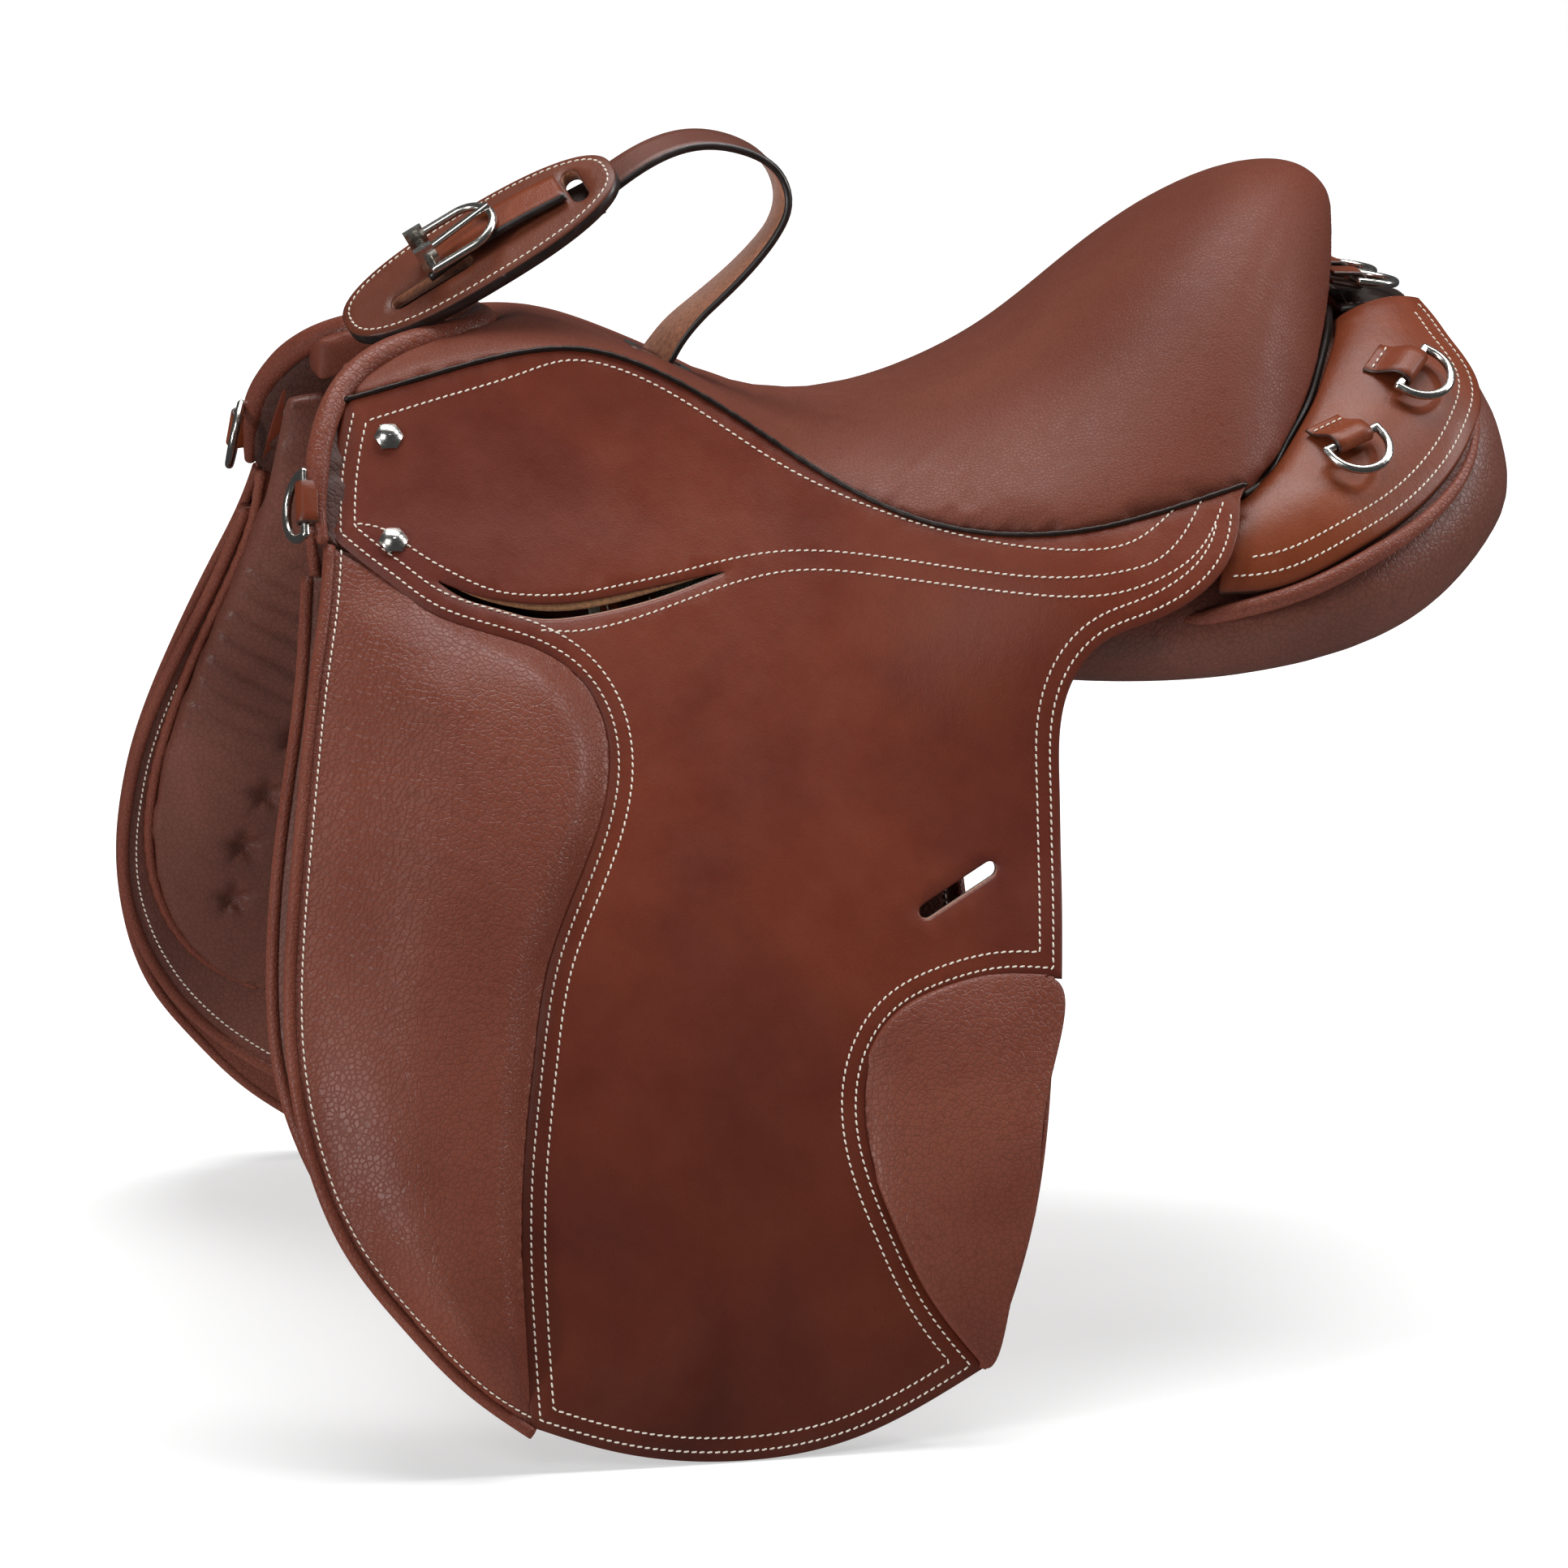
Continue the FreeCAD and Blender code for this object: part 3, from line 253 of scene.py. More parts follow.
def spline(points, step=0.003):
    """Even points along the natural cubic through the given ones."""
    points = np.asarray(points, float)
    gaps = np.linalg.norm(np.diff(points, axis=0), axis=1)
    knots = np.concatenate([[0.0], np.cumsum(gaps)])
    count = len(points)
    matrix, right = np.eye(count), np.zeros_like(points)
    for i in range(1, count - 1):
        matrix[i, i - 1:i + 2] = gaps[i - 1], 2 * (gaps[i - 1] + gaps[i]), gaps[i]
        right[i] = 6 * ((points[i + 1] - points[i]) / gaps[i] - (points[i] - points[i - 1]) / gaps[i - 1])
    bend = np.linalg.solve(matrix, right)
    t = np.linspace(0.0, knots[-1], 60 * count)
    i = np.clip(np.searchsorted(knots, t, side="right") - 1, 0, count - 2)
    before, after, gap = (knots[i + 1] - t)[:, None], (t - knots[i])[:, None], gaps[i][:, None]
    dense = (bend[i] * before**3 + bend[i + 1] * after**3) / (6 * gap)
    from_start = (points[i] / gap - bend[i] * gap / 6) * before
    from_end = (points[i + 1] / gap - bend[i + 1] * gap / 6) * after
    dense += from_start + from_end
    return resample(dense, step)


def outline(*runs, step=0.003):
    """Closed loop of points through the runs, each a smooth curve that starts where the last one ends."""
    return np.vstack([spline(run, step)[:-1] for run in runs])


def stadium_loop(centre, length, width, angle=0.0, step=0.0012):
    """Loop of a slot with round ends."""
    half, r = (length - width) / 2, width / 2
    arc = [(half + r * math.cos(a), r * math.sin(a)) for a in np.linspace(-math.pi / 2, math.pi / 2, 9)]
    points = arc + [(-x, -y) for x, y in arc]
    c, s = math.cos(math.radians(angle)), math.sin(math.radians(angle))
    turned = [(centre[0] + c * x - s * y, centre[1] + s * x + c * y) for x, y in points]
    return reloop(turned, step)


def inside(points, loops):
    """Which points lie within the loops, by the even-odd rule."""
    x, z = points[:, 0], points[:, 1]
    hit = np.zeros(len(points), bool)
    for loop in loops:
        for (x0, z0), (x1, z1) in zip(loop, np.roll(loop, -1, axis=0)):
            if z0 != z1:
                hit ^= ((z0 > z) != (z1 > z)) & (x < (x1 - x0) * (z - z0) / (z1 - z0) + x0)
    return hit


def loop_normals(loop, reach=1):
    """Unit normals of a closed loop, to its left."""
    along = np.roll(loop, -reach, axis=0) - np.roll(loop, reach, axis=0)
    normals = np.column_stack([-along[:, 1], along[:, 0]])
    return normals / np.maximum(np.linalg.norm(normals, axis=1), 1e-9)[:, None]


def area(loop):
    """Signed area inside a closed loop."""
    ahead = np.roll(loop, -1, axis=0)
    return 0.5 * float(np.sum(loop[:, 0] * ahead[:, 1] - ahead[:, 0] * loop[:, 1]))


def inset(loop, distance, reach=1):
    """The loop moved inwards (or outwards, if distance is negative)."""
    return loop + loop_normals(loop, reach) * (distance * math.copysign(1.0, area(loop)))


def nearest(points):
    """KD tree of 2-D or 3-D points."""
    tree = KDTree(len(points))
    for i, p in enumerate(points):
        tree.insert((p[0], p[1], p[2] if len(p) > 2 else 0.0), i)
    tree.balance()
    return tree


def inset_row(loop, distance, first, last):
    """Stitch line at that distance inside the loop, from the point nearest first to that nearest last."""
    dense = reloop(loop, 0.001)
    moved = inset(dense, distance, 3)
    tree = nearest(dense)
    clear = [tree.find((p[0], p[1], 0.0))[2] > distance - 0.0002 for p in moved]
    start = int(np.argmin(np.linalg.norm(dense - np.array(first), axis=1)))
    end = int(np.argmin(np.linalg.norm(dense - np.array(last), axis=1)))
    order = np.arange(start, end if end > start else end + len(dense)) % len(dense)
    return np.array([moved[i] for i in order if clear[i]])


def on_drape(side):
    """Places (x, z) points on the flap's outer face, and depth inside it."""
    def place(points, depth):
        x, z = points[:, 0], points[:, 1]
        return np.column_stack([x, side * (drape(x, z) - depth), z])
    return place


def on_safe(points, depth):
    """Places points of the oval safe's own plane, and depth under its face."""
    centre, long, across, normal = map(np.array, (SAFE_CENTRE, SAFE_LONG, SAFE_ACROSS, SAFE_NORMAL))
    depth = np.broadcast_to(depth, (len(points),))
    return centre + np.outer(points[:, 0], long) + np.outer(points[:, 1], across) - np.outer(depth, normal)


# ---------------------------------------------------------------- mesh builders

def new_piece(name, verts, faces, materials, index=None):
    """Mesh object with smooth faces that point outwards."""
    mesh = bpy.data.meshes.new(name)
    mesh.from_pydata([tuple(v) for v in verts], [], [tuple(int(i) for i in f) for f in faces])
    for material in materials:
        mesh.materials.append(material)
    if index is not None:
        mesh.polygons.foreach_set("material_index", index)
    bm = bmesh.new()
    bm.from_mesh(mesh)
    bmesh.ops.recalc_face_normals(bm, faces=bm.faces)
    bm.to_mesh(mesh)
    bm.free()
    mesh.shade_smooth()
    piece = bpy.data.objects.new(name, mesh)
    bpy.context.scene.collection.objects.link(piece)
    return piece


def sheet(name, loops, place, depth, thick, materials, spacing=0.006, bulge=None, rim=1):
    """Leather of that outline and holes, edges rounded. Materials: face, outer edge, edges of holes."""
    rounded = [loops[0], inset(loops[0], EDGE_ROUND)]
    for hole in loops[1:]:
        rounded += [hole, inset(hole, -EDGE_ROUND)]
    points, faces, rings = triangulate(rounded, loops, spacing)
    drop = np.zeros(len(points))
    for ids in rings[0::2]:
        drop[ids] = EDGE_ROUND * 0.7
    rise = 0.0 if bulge is None else bulge(points)
    top = place(points, depth - rise + drop)
    base = place(points, depth + thick - drop)
    count = len(points)
    verts = np.vstack([top, base])
    all_faces = [tuple(f) for f in faces] + [tuple(f[::-1] + count) for f in faces]
    index = [0] * len(all_faces)
    for k, ids in enumerate(rings[0::2]):
        for a, b in zip(ids, ids[1:] + ids[:1]):
            all_faces.append((a, b, b + count, a + count))
            index.append(rim if k == 0 else len(materials) - 1)
    return new_piece(name, verts, all_faces, materials, index)


def triangulate(rounded, loops, spacing):
    """Triangulation that keeps the outlines and their inset copies, and fills what the outlines hold."""
    edge_points = np.vstack(rounded)
    low, high = edge_points.min(axis=0), edge_points.max(axis=0)
    rows = []
    for r, z in enumerate(np.arange(low[1], high[1], spacing * 0.866)):
        xs = np.arange(low[0] + (r % 2) * spacing / 2, high[0], spacing)
        rows.append(np.column_stack([xs, np.full(len(xs), z)]))
    grid = np.vstack(rows)
    grid = grid[inside(grid, loops)]
    tree = nearest(edge_points)
    grid = [p for p in grid if tree.find((p[0], p[1], 0.0))[2] > 0.6 * spacing]
    points = np.vstack([edge_points, grid]) if grid else edge_points
    edges, rings, start = [], [], 0
    for loop in rounded:
        ids = list(range(start, start + len(loop)))
        edges += list(zip(ids, ids[1:] + ids[:1]))
        rings.append(ids)
        start += len(loop)
    result = geometry.delaunay_2d_cdt([Vector(p) for p in points], edges, [], 0, 1e-7)
    moved = {old: new for new, olds in enumerate(result[3]) for old in olds}
    out = np.array([(v.x, v.y) for v in result[0]])
    faces = np.array([f for f in result[2] if len(f) == 3])
    keep = inside(out[faces].mean(axis=1), loops)
    return out, faces[keep], [[moved[i] for i in ids] for ids in rings]


def frames_along(path, sides=None):
    """Tangent, side and face vectors at each point of a 3-D path."""
    path = np.asarray(path, float)
    ahead = np.gradient(path, axis=0)
    ahead /= np.linalg.norm(ahead, axis=1)[:, None]
    if sides is None:
        side = np.cross(ahead[0], (0.31, 0.52, 0.80))
        out = []
        for a in ahead:
            side = side - a * np.dot(side, a)
            side = side / np.linalg.norm(side)
            out.append(side)
        sides = np.array(out)
    else:
        sides = sides - ahead * np.sum(sides * ahead, axis=1)[:, None]
        sides /= np.linalg.norm(sides, axis=1)[:, None]
    return ahead, sides, np.cross(ahead, sides)


def loft(name, rings, materials, index=None):
    """Skin over equal rings of points, with both ends filled."""
    rings = np.asarray(rings)
    count, around = rings.shape[:2]
    faces, kinds = [], []
    for i in range(count - 1):
        for k in range(around):
            a, b = i * around + k, i * around + (k + 1) % around
            faces.append((a, b, b + around, a + around))
            kinds.append(index[k] if index else 0)
    faces.append(tuple(range(around))[::-1])
    faces.append(tuple((count - 1) * around + k for k in range(around)))
    kinds += [0, 0]
    return new_piece(name, rings.reshape(-1, 3), faces, materials, kinds)


def tube(name, path, radius, materials, around):
    """Round tube along a path; radius may vary along it."""
    path = np.asarray(path, float)
    radii = np.broadcast_to(radius, (len(path),))
    _, side, face = frames_along(path)
    angles = np.linspace(0, 2 * math.pi, around, endpoint=False)
    rings = []
    for p, r, s, f in zip(path, radii, side, face):
        rings.append([p + s * (r * math.cos(a)) + f * (r * math.sin(a)) for a in angles])
    return loft(name, rings, materials)


def strap(name, path, sides, width, thick, materials):
    """Flat strap with rounded edges. Materials: grain side, flesh side, edges."""
    path = np.asarray(path, float)
    _, side, face = frames_along(path, sides)
    w, t, r = width / 2, thick / 2, thick * 0.35
    section = [(-w + r, t), (-w / 2, t), (0, t), (w / 2, t), (w - r, t), (w, t - r), (w, -t + r),
               (w - r, -t), (0, -t), (-w + r, -t), (-w, -t + r), (-w, t - r)]
    kinds = [0, 0, 0, 0, 2, 2, 2, 1, 1, 2, 2, 2]
    rings = [[p + s * a + f * b for a, b in section] for p, s, f in zip(path, side, face)]
    return loft(name, rings, materials, index=kinds)


def stitches(name, rows, material):
    """Rows of thread, each (points, normals) in 3-D. Stitches slant a little and dip in at both ends."""
    template = [(-0.5, 0, 0)]
    ring_angles = np.linspace(0, 2 * math.pi, 6, endpoint=False)
    for t, s in ((-0.36, 0.8), (0.0, 1.0), (0.36, 0.8)):
        template += [(t, s * math.cos(a), s * math.sin(a)) for a in ring_angles]
    template.append((0.5, 0, 0))
    quads = [(0, 1 + (k + 1) % 6, 1 + k) for k in range(6)]
    for start in (1, 7):
        for k in range(6):
            beside = start + (k + 1) % 6
            quads.append((start + k, beside, 6 + beside, 6 + start + k))
    quads += [(19, 13 + k, 13 + (k + 1) % 6) for k in range(6)]
    verts, faces = [], []
    for points, normals in rows:
        line = np.hstack([points, normals])
        gaps = np.linalg.norm(np.diff(points, axis=0), axis=1)
        along = np.concatenate([[0.0], np.cumsum(gaps)])
        count = max(1, int(along[-1] / STITCH_PITCH))
        marks = (np.arange(count) + 0.5) * along[-1] / count
        at = np.column_stack([np.interp(marks, along, line[:, k]) for k in range(6)])
        late, early = marks + STITCH_PITCH / 2, marks - STITCH_PITCH / 2
        ahead = np.column_stack([np.interp(late, along, column) - np.interp(early, along, column)
                                 for column in np.asarray(points).T])
        for spot, forward in zip(at, ahead):
            normal = Vector(spot[3:]).normalized()
            forward = Vector(forward)
            forward = (forward - normal * forward.dot(normal)).normalized()
            forward = Matrix.Rotation(math.radians(9), 3, normal) @ forward
            across = normal.cross(forward)
            base = len(verts)
            for t, a, b in template:
                rise = STITCH_RADIUS * (b * 0.8 + 0.35) - 0.0009 * (2 * t) ** 4 * 0.5
                slide = forward * (t * STITCH_LENGTH) + across * (a * STITCH_RADIUS)
                verts.append(Vector(spot[:3]) + slide + normal * rise)
            faces += [tuple(base + i for i in f) for f in quads]
    return new_piece(name, verts, faces, [material])


def row_on(place, line, nudge=0.0005):
    """A stitch row on a surface: its points and normals in 3-D."""
    along_x = place(line + (nudge, 0)) - place(line - (nudge, 0))
    along_z = place(line + (0, nudge)) - place(line - (0, nudge))
    normal = np.cross(along_x, along_z)
    return place(line), normal / np.linalg.norm(normal, axis=1)[:, None]


def drape_row(line, side, depth=0.0):
    """A stitch row on the flap's face, or at a depth inside it."""
    place = on_drape(side)
    at, normal = row_on(lambda points: place(points, depth), resample(line, 0.0015))
    return at, normal * (np.sign(normal[:, 1:2]) * side)


# ---------------------------------------------------------------- materials

class Nodes:
    """Short-hand for building a material's node tree."""

    def __init__(self, name):
        self.material = bpy.data.materials.new(name)
        self.material.use_nodes = True
        self.tree = self.material.node_tree
        self.shader = self.tree.nodes["Principled BSDF"]
        coordinates = self.tree.nodes.new("ShaderNodeTexCoord")
        self.place = coordinates.outputs["Object"]

    def feed(self, socket, value):
        """Links an output to a socket, or sets the socket's own value."""
        if isinstance(value, bpy.types.NodeSocket):
            self.tree.links.new(value, socket)
        else:
            socket.default_value = (*value, 1.0) if socket.type == "RGBA" else value

    def add(self, kind, inputs=None, **settings):
        node = self.tree.nodes.new(kind)
        for key, value in settings.items():
            setattr(node, key, value)
        for key, value in (inputs or {}).items():
            self.feed(node.inputs[key], value)
        return node

    def stretched(self, scale):
        mapping = self.add("ShaderNodeMapping", {"Vector": self.place, "Scale": scale})
        return mapping.outputs["Vector"]

    def noise(self, scale, detail=3.0, roughness=0.55, where=None, distortion=0.0):
        inputs = {"Vector": where or self.place, "Scale": scale, "Detail": detail, "Roughness": roughness,
                  "Distortion": distortion}
        return self.add("ShaderNodeTexNoise", inputs).outputs["Fac"]

    def cells(self, scale, feature="F1", where=None):
        inputs = {"Vector": where or self.place, "Scale": scale}
        return self.add("ShaderNodeTexVoronoi", inputs, feature=feature).outputs["Distance"]

    def ramp(self, factor, stops):
        node = self.add("ShaderNodeValToRGB", {"Fac": factor})
        elements = node.color_ramp.elements
        while len(elements) < len(stops):
            elements.new(0.5)
        for element, (position, color) in zip(elements, stops):
            element.position = position
            element.color = (*color, 1.0)
        return node.outputs["Color"]

    def span(self, value, low, high, start=0.0, stop=1.0):
        limits = {"Value": value, "From Min": start, "From Max": stop, "To Min": low, "To Max": high}
        return self.add("ShaderNodeMapRange", limits).outputs["Result"]

    def mix(self, factor, a, b):
        return self.add("ShaderNodeMix", {0: factor, 6: a, 7: b}, data_type="RGBA").outputs[2]

    def math(self, operation, a, b):
        return self.add("ShaderNodeMath", {0: a, 1: b}, operation=operation).outputs[0]

    def bump(self, height, distance, strength=1.0, normal=None):
        inputs = {"Height": height, "Distance": distance, "Strength": strength}
        if normal is not None:
            inputs["Normal"] = normal
        return self.add("ShaderNodeBump", inputs).outputs["Normal"]

    def done(self, color, roughness, normal=None, **fixed):
        inputs = {"Base Color": color, "Roughness": roughness, "Normal": normal}
        for key, value in inputs.items():
            if value is not None:
                self.feed(self.shader.inputs[key], value)
        for key, value in fixed.items():
            title = key.replace("_", " ").title().replace("Ior", "IOR")
            self.shader.inputs[title].default_value = value
        return self.material


def bridle_leather(name, dark, mid, light, shine, coat, hem=0.0):
    """Waxed bridle leather: mottled dye, fine pores, faint creases, rubbed edges, and painted shade that
    darkens it towards its hem.
    """
    n = Nodes(name)
    broad = n.noise(7.0, 4.0, 0.55, distortion=0.6)
    fine = n.noise(42.0, 5.0, 0.6)
    speck = n.noise(900.0, 2.0, 0.6)
    mottle = n.math("ADD", n.math("MULTIPLY", broad, 0.75), n.math("MULTIPLY", fine, 0.25))
    color = n.ramp(mottle, [(0.30, dark), (0.50, mid), (0.74, light)])
    color = n.mix(n.span(speck, 0.0, 0.22, 0.45, 0.75), color, tuple(c * 0.45 for c in mid))
    # Painted shade: the colour darkens towards the hem, where the flap faces away from the light above.
    if hem:
        height = n.add("ShaderNodeSeparateXYZ", {"Vector": n.place}).outputs["Z"]
        shade_towards_hem = n.span(height, hem, 0.0, -0.30, -0.06)
        hem_shade_mask = n.math("MULTIPLY", shade_towards_hem, n.span(broad, 1.25, 0.75, 0.35, 0.65))
        color = n.mix(hem_shade_mask, color, tuple(c * 0.30 for c in dark))
    edge = n.add("ShaderNodeNewGeometry").outputs["Pointiness"]
    color = n.mix(n.span(edge, 0.0, 0.55, 0.53, 0.60), color, tuple(c * 0.35 for c in dark))
    pores = n.cells(1500.0, where=n.stretched((1.0, 1.0, 0.7)))
    creases = n.noise(260.0, 4.0, 0.65, where=n.stretched((1.0, 0.8, 0.35)))
    normal = n.bump(n.noise(26.0, 3.0), 0.0010, 0.35)
    normal = n.bump(creases, 0.00035, 0.55, normal)
    normal = n.bump(pores, 0.00012, 0.5, normal)
    rough = n.span(n.math("ADD", n.math("MULTIPLY", fine, 0.6), n.math("MULTIPLY", speck, 0.4)),
                   shine - 0.05, shine + 0.16, 0.3, 0.7)
    return n.done(color, rough, normal, coat_weight=coat, coat_roughness=0.25, specular_ior_level=0.20)


def soft_leather(name, dark, mid, light, rough, pebble, depth, coat, crease=0.25, gloss=0.25):
    """Soft calf: even colour, pebbled grain with creases between the pebbles, and painted shade in the
    valleys between them.
    """
    n = Nodes(name)
    broad = n.noise(9.0, 3.0, 0.5, distortion=0.4)
    grain = n.cells(pebble, "F1", where=n.stretched((1.0, 1.0, 0.8)))
    valley_bump_and_shade = n.cells(pebble * 0.55, "DISTANCE_TO_EDGE")
    color = n.ramp(broad, [(0.34, dark), (0.52, mid), (0.70, light)])
    # Painted shade: the valleys between the pebbles are darker.
    color = n.mix(n.span(valley_bump_and_shade, 0.38, 0.0, 0.0, 0.10), color, tuple(c * 0.5 for c in dark))
    creases = n.noise(95.0, 5.0, 0.6, where=n.stretched((1.0, 1.0, 2.2)), distortion=1.2)
    normal = n.bump(creases, 0.0008, crease)
    normal = n.bump(n.span(valley_bump_and_shade, 0.0, 1.0, 0.0, 0.16), depth, 0.7, normal)
    normal = n.bump(grain, depth * 0.6, 0.5, normal)
    roughness = n.span(n.noise(120.0, 3.0), rough - 0.05, rough + 0.08, 0.3, 0.7)
    return n.done(color, roughness, normal, coat_weight=coat, coat_roughness=0.30,
                  specular_ior_level=gloss)


def raw_leather(name, dark, light):
    """Cut edge or flesh side: fibrous, matt."""
    n = Nodes(name)
    nap = n.noise(700.0, 6.0, 0.7, where=n.stretched((1.0, 1.0, 0.45)))
    color = n.ramp(nap, [(0.35, dark), (0.68, light)])
    normal = n.bump(nap, 0.0005, 0.7)
    return n.done(color, n.span(nap, 0.78, 0.95, 0.3, 0.7), normal, sheen_weight=0.25, sheen_roughness=0.5)


def edge_dressing(name, color):
    """Burnished, dyed edge: dark, slightly glossy, with the layers of the hide showing."""
    n = Nodes(name)
    layers = n.noise(600.0, 4.0, 0.6, where=n.stretched((0.2, 1.0, 0.3)))
    tone = n.ramp(layers, [(0.35, tuple(c * 0.55 for c in color)), (0.70, color)])
    normal = n.bump(layers, 0.0002, 0.6)
    return n.done(tone, n.span(layers, 0.32, 0.52, 0.3, 0.7), normal, coat_weight=0.2, coat_roughness=0.3)


def thread_material(name, shade, tone):
    """Waxed thread: twisted strands, with a painted highlight where they stand up."""
    n = Nodes(name)
    twist_bump_and_highlight = n.noise(2600.0, 2.0, 0.5)
    # Painted highlight: the raised strands are lighter.
    color = n.ramp(twist_bump_and_highlight, [(0.3, shade), (0.65, tone)])
    return n.done(color, n.span(twist_bump_and_highlight, 0.5, 0.7), n.bump(twist_bump_and_highlight, 0.00015, 0.6), sheen_weight=0.2)


def nickel(name="nickel_plate", tone=(0.66, 0.64, 0.60), rough=0.16):
    """Polished metal with fine scratches and dull patches."""
    n = Nodes(name)
    wear = n.noise(180.0, 4.0, 0.6)
    scratch = n.noise(1400.0, 3.0, 0.6, where=n.stretched((0.15, 1.0, 1.0)))
    color = n.ramp(wear, [(0.3, tuple(c * 0.86 for c in tone)), (0.65, tone)])
    roughness = n.span(scratch, rough, rough + 0.14, 0.35, 0.75)
    return n.done(color, roughness, n.bump(scratch, 0.00003, 0.4), metallic=1.0)


def woven(name, dark, light):
    """Coarse woven web, with painted shade in the low parts of the weave."""
    n = Nodes(name)
    weave = n.add("ShaderNodeTexWave", {"Vector": n.place, "Scale": 420.0,
                                        "Distortion": 0.6}).outputs["Fac"]
    fuzz = n.noise(900.0, 4.0)
    height = n.math("MULTIPLY", weave, fuzz)
    # Painted shade: the low parts of the weave are darker.
    color = n.ramp(height, [(0.1, dark), (0.6, light)])
    return n.done(color, 0.85, n.bump(height, 0.0006, 0.8), sheen_weight=0.2)


def wood(name):
    """Laminated wood of the tree."""
    n = Nodes(name)
    grain = n.noise(60.0, 6.0, 0.6, where=n.stretched((0.12, 1.0, 1.0)), distortion=0.8)
    color = n.ramp(grain, [(0.3, (0.20, 0.11, 0.05)), (0.7, (0.42, 0.27, 0.14))])
    return n.done(color, n.span(grain, 0.45, 0.6), n.bump(grain, 0.0003, 0.5))


SEAT = soft_leather("seat_calf", (0.124, 0.034, 0.021), (0.141, 0.040, 0.025), (0.158, 0.047, 0.030),
                    rough=0.40, pebble=1000.0, depth=0.00012, coat=0.03, crease=0.10, gloss=0.10)
ROLL = soft_leather("roll_calf", (0.130, 0.034, 0.021), (0.155, 0.043, 0.027), (0.182, 0.054, 0.034),
                    rough=0.34, pebble=700.0, depth=0.00022, coat=0.05, crease=0.14, gloss=0.15)
PANEL = soft_leather("panel_calf", (0.100, 0.032, 0.022), (0.124, 0.041, 0.028), (0.152, 0.050, 0.035),
                     rough=0.42, pebble=620.0, depth=0.00018, coat=0.05, crease=0.12)
LINING = soft_leather("lining_calf", (0.050, 0.018, 0.013), (0.070, 0.025, 0.018), (0.090, 0.032, 0.022),
                      rough=0.5, pebble=520.0, depth=0.00020, coat=0.02)
# The flap hide has painted shade towards its hem.
FLAP = bridle_leather("flap_hide", (0.092, 0.018, 0.012), (0.132, 0.026, 0.013), (0.172, 0.036, 0.014),
                      shine=0.34, coat=0.06, hem=0.50)
TAN = bridle_leather("skirt_hide", (0.095, 0.019, 0.009), (0.145, 0.030, 0.011), (0.205, 0.047, 0.016),
                     shine=0.34, coat=0.05)
SAFE = bridle_leather("safe_hide", (0.060, 0.017, 0.010), (0.105, 0.028, 0.015), (0.150, 0.042, 0.020),
                      shine=0.34, coat=0.08)
# Near-black hide: the real colour of the seat welts and the bridge, and painted shade on the cantle's foot
# welts, the strap under the safe and the anchor strap.
DARK_HIDE_AND_SHADE = bridle_leather("black_brown_hide", (0.010, 0.005, 0.004), (0.016, 0.008, 0.006),
                      (0.026, 0.012, 0.009), shine=0.34, coat=0.08)
RAW = raw_leather("raw_hide", (0.18, 0.060, 0.028), (0.40, 0.160, 0.080))
SUEDE = raw_leather("slit_suede", (0.12, 0.045, 0.014), (0.26, 0.115, 0.040))
EDGE = edge_dressing("dressed_edge", (0.060, 0.022, 0.014))
BLACK_EDGE = edge_dressing("dark_dressed_edge", (0.018, 0.010, 0.008))
THREAD = thread_material("linen_thread", (0.50, 0.43, 0.34), (0.86, 0.80, 0.70))
BROWN_THREAD = thread_material("brown_thread", (0.050, 0.026, 0.018), (0.10, 0.055, 0.038))
NICKEL = nickel()
STEEL = nickel("forged_steel", (0.42, 0.42, 0.43), 0.32)
STRAP = bridle_leather("strap_hide", (0.075, 0.024, 0.016), (0.110, 0.036, 0.024), (0.150, 0.056, 0.038),
                       shine=0.36, coat=0.12)
LINEN = woven("linen_web", (0.28, 0.24, 0.17), (0.60, 0.54, 0.42))
WOOD = wood("tree_wood")


def finish_frame():
    """Gives each CAD node that still shows its material: nickel, unless it is one of these."""
    steel = ("head_plate", "stirrup_bar", "bar_catch", "bar_rivets", "catch_pins")
    choice = {"seat_webbing": LINEN, "seat_foam": LINEN, "tree": WOOD, **dict.fromkeys(steel, STEEL)}
    for name, node in NODES.items():
        base = name.replace("_near", "").replace("_off", "")
        material = choice.get(base, NICKEL)
        if not node.data.materials:
            node.data.materials.append(material)
        for k in range(len(node.data.materials)):
            node.data.materials[k] = material


def settle(piece, body, slot, *nodes):
    """The body that a piece rides on, its material slot (not used), and the CAD nodes that it stands for.
    """
    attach(piece, body)
    if nodes:
        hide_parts(*nodes)


# ---------------------------------------------------------------- padded pieces

def apply_modifiers(piece):
    """Bakes the piece's modifiers into its mesh."""
    depsgraph = bpy.context.evaluated_depsgraph_get()
    mesh = bpy.data.meshes.new_from_object(piece.evaluated_get(depsgraph))
    old = piece.data
    piece.modifiers.clear()
    piece.data = mesh
    bpy.data.meshes.remove(old)


def positions(mesh):
    """The mesh's points as rows of an array."""
    out = np.empty(len(mesh.vertices) * 3)
    mesh.vertices.foreach_get("co", out)
    return out.reshape(-1, 3)


def remeshed(piece, voxel, rounds):
    """Even quads over a closed piece, then a light smoothing."""
    modifier = piece.modifiers.new("remesh", "REMESH")
    modifier.mode = "VOXEL"
    modifier.voxel_size = voxel
    modifier.use_smooth_shade = True
    relax = piece.modifiers.new("relax", "SMOOTH")
    relax.factor = 0.5
    relax.iterations = rounds
    apply_modifiers(piece)


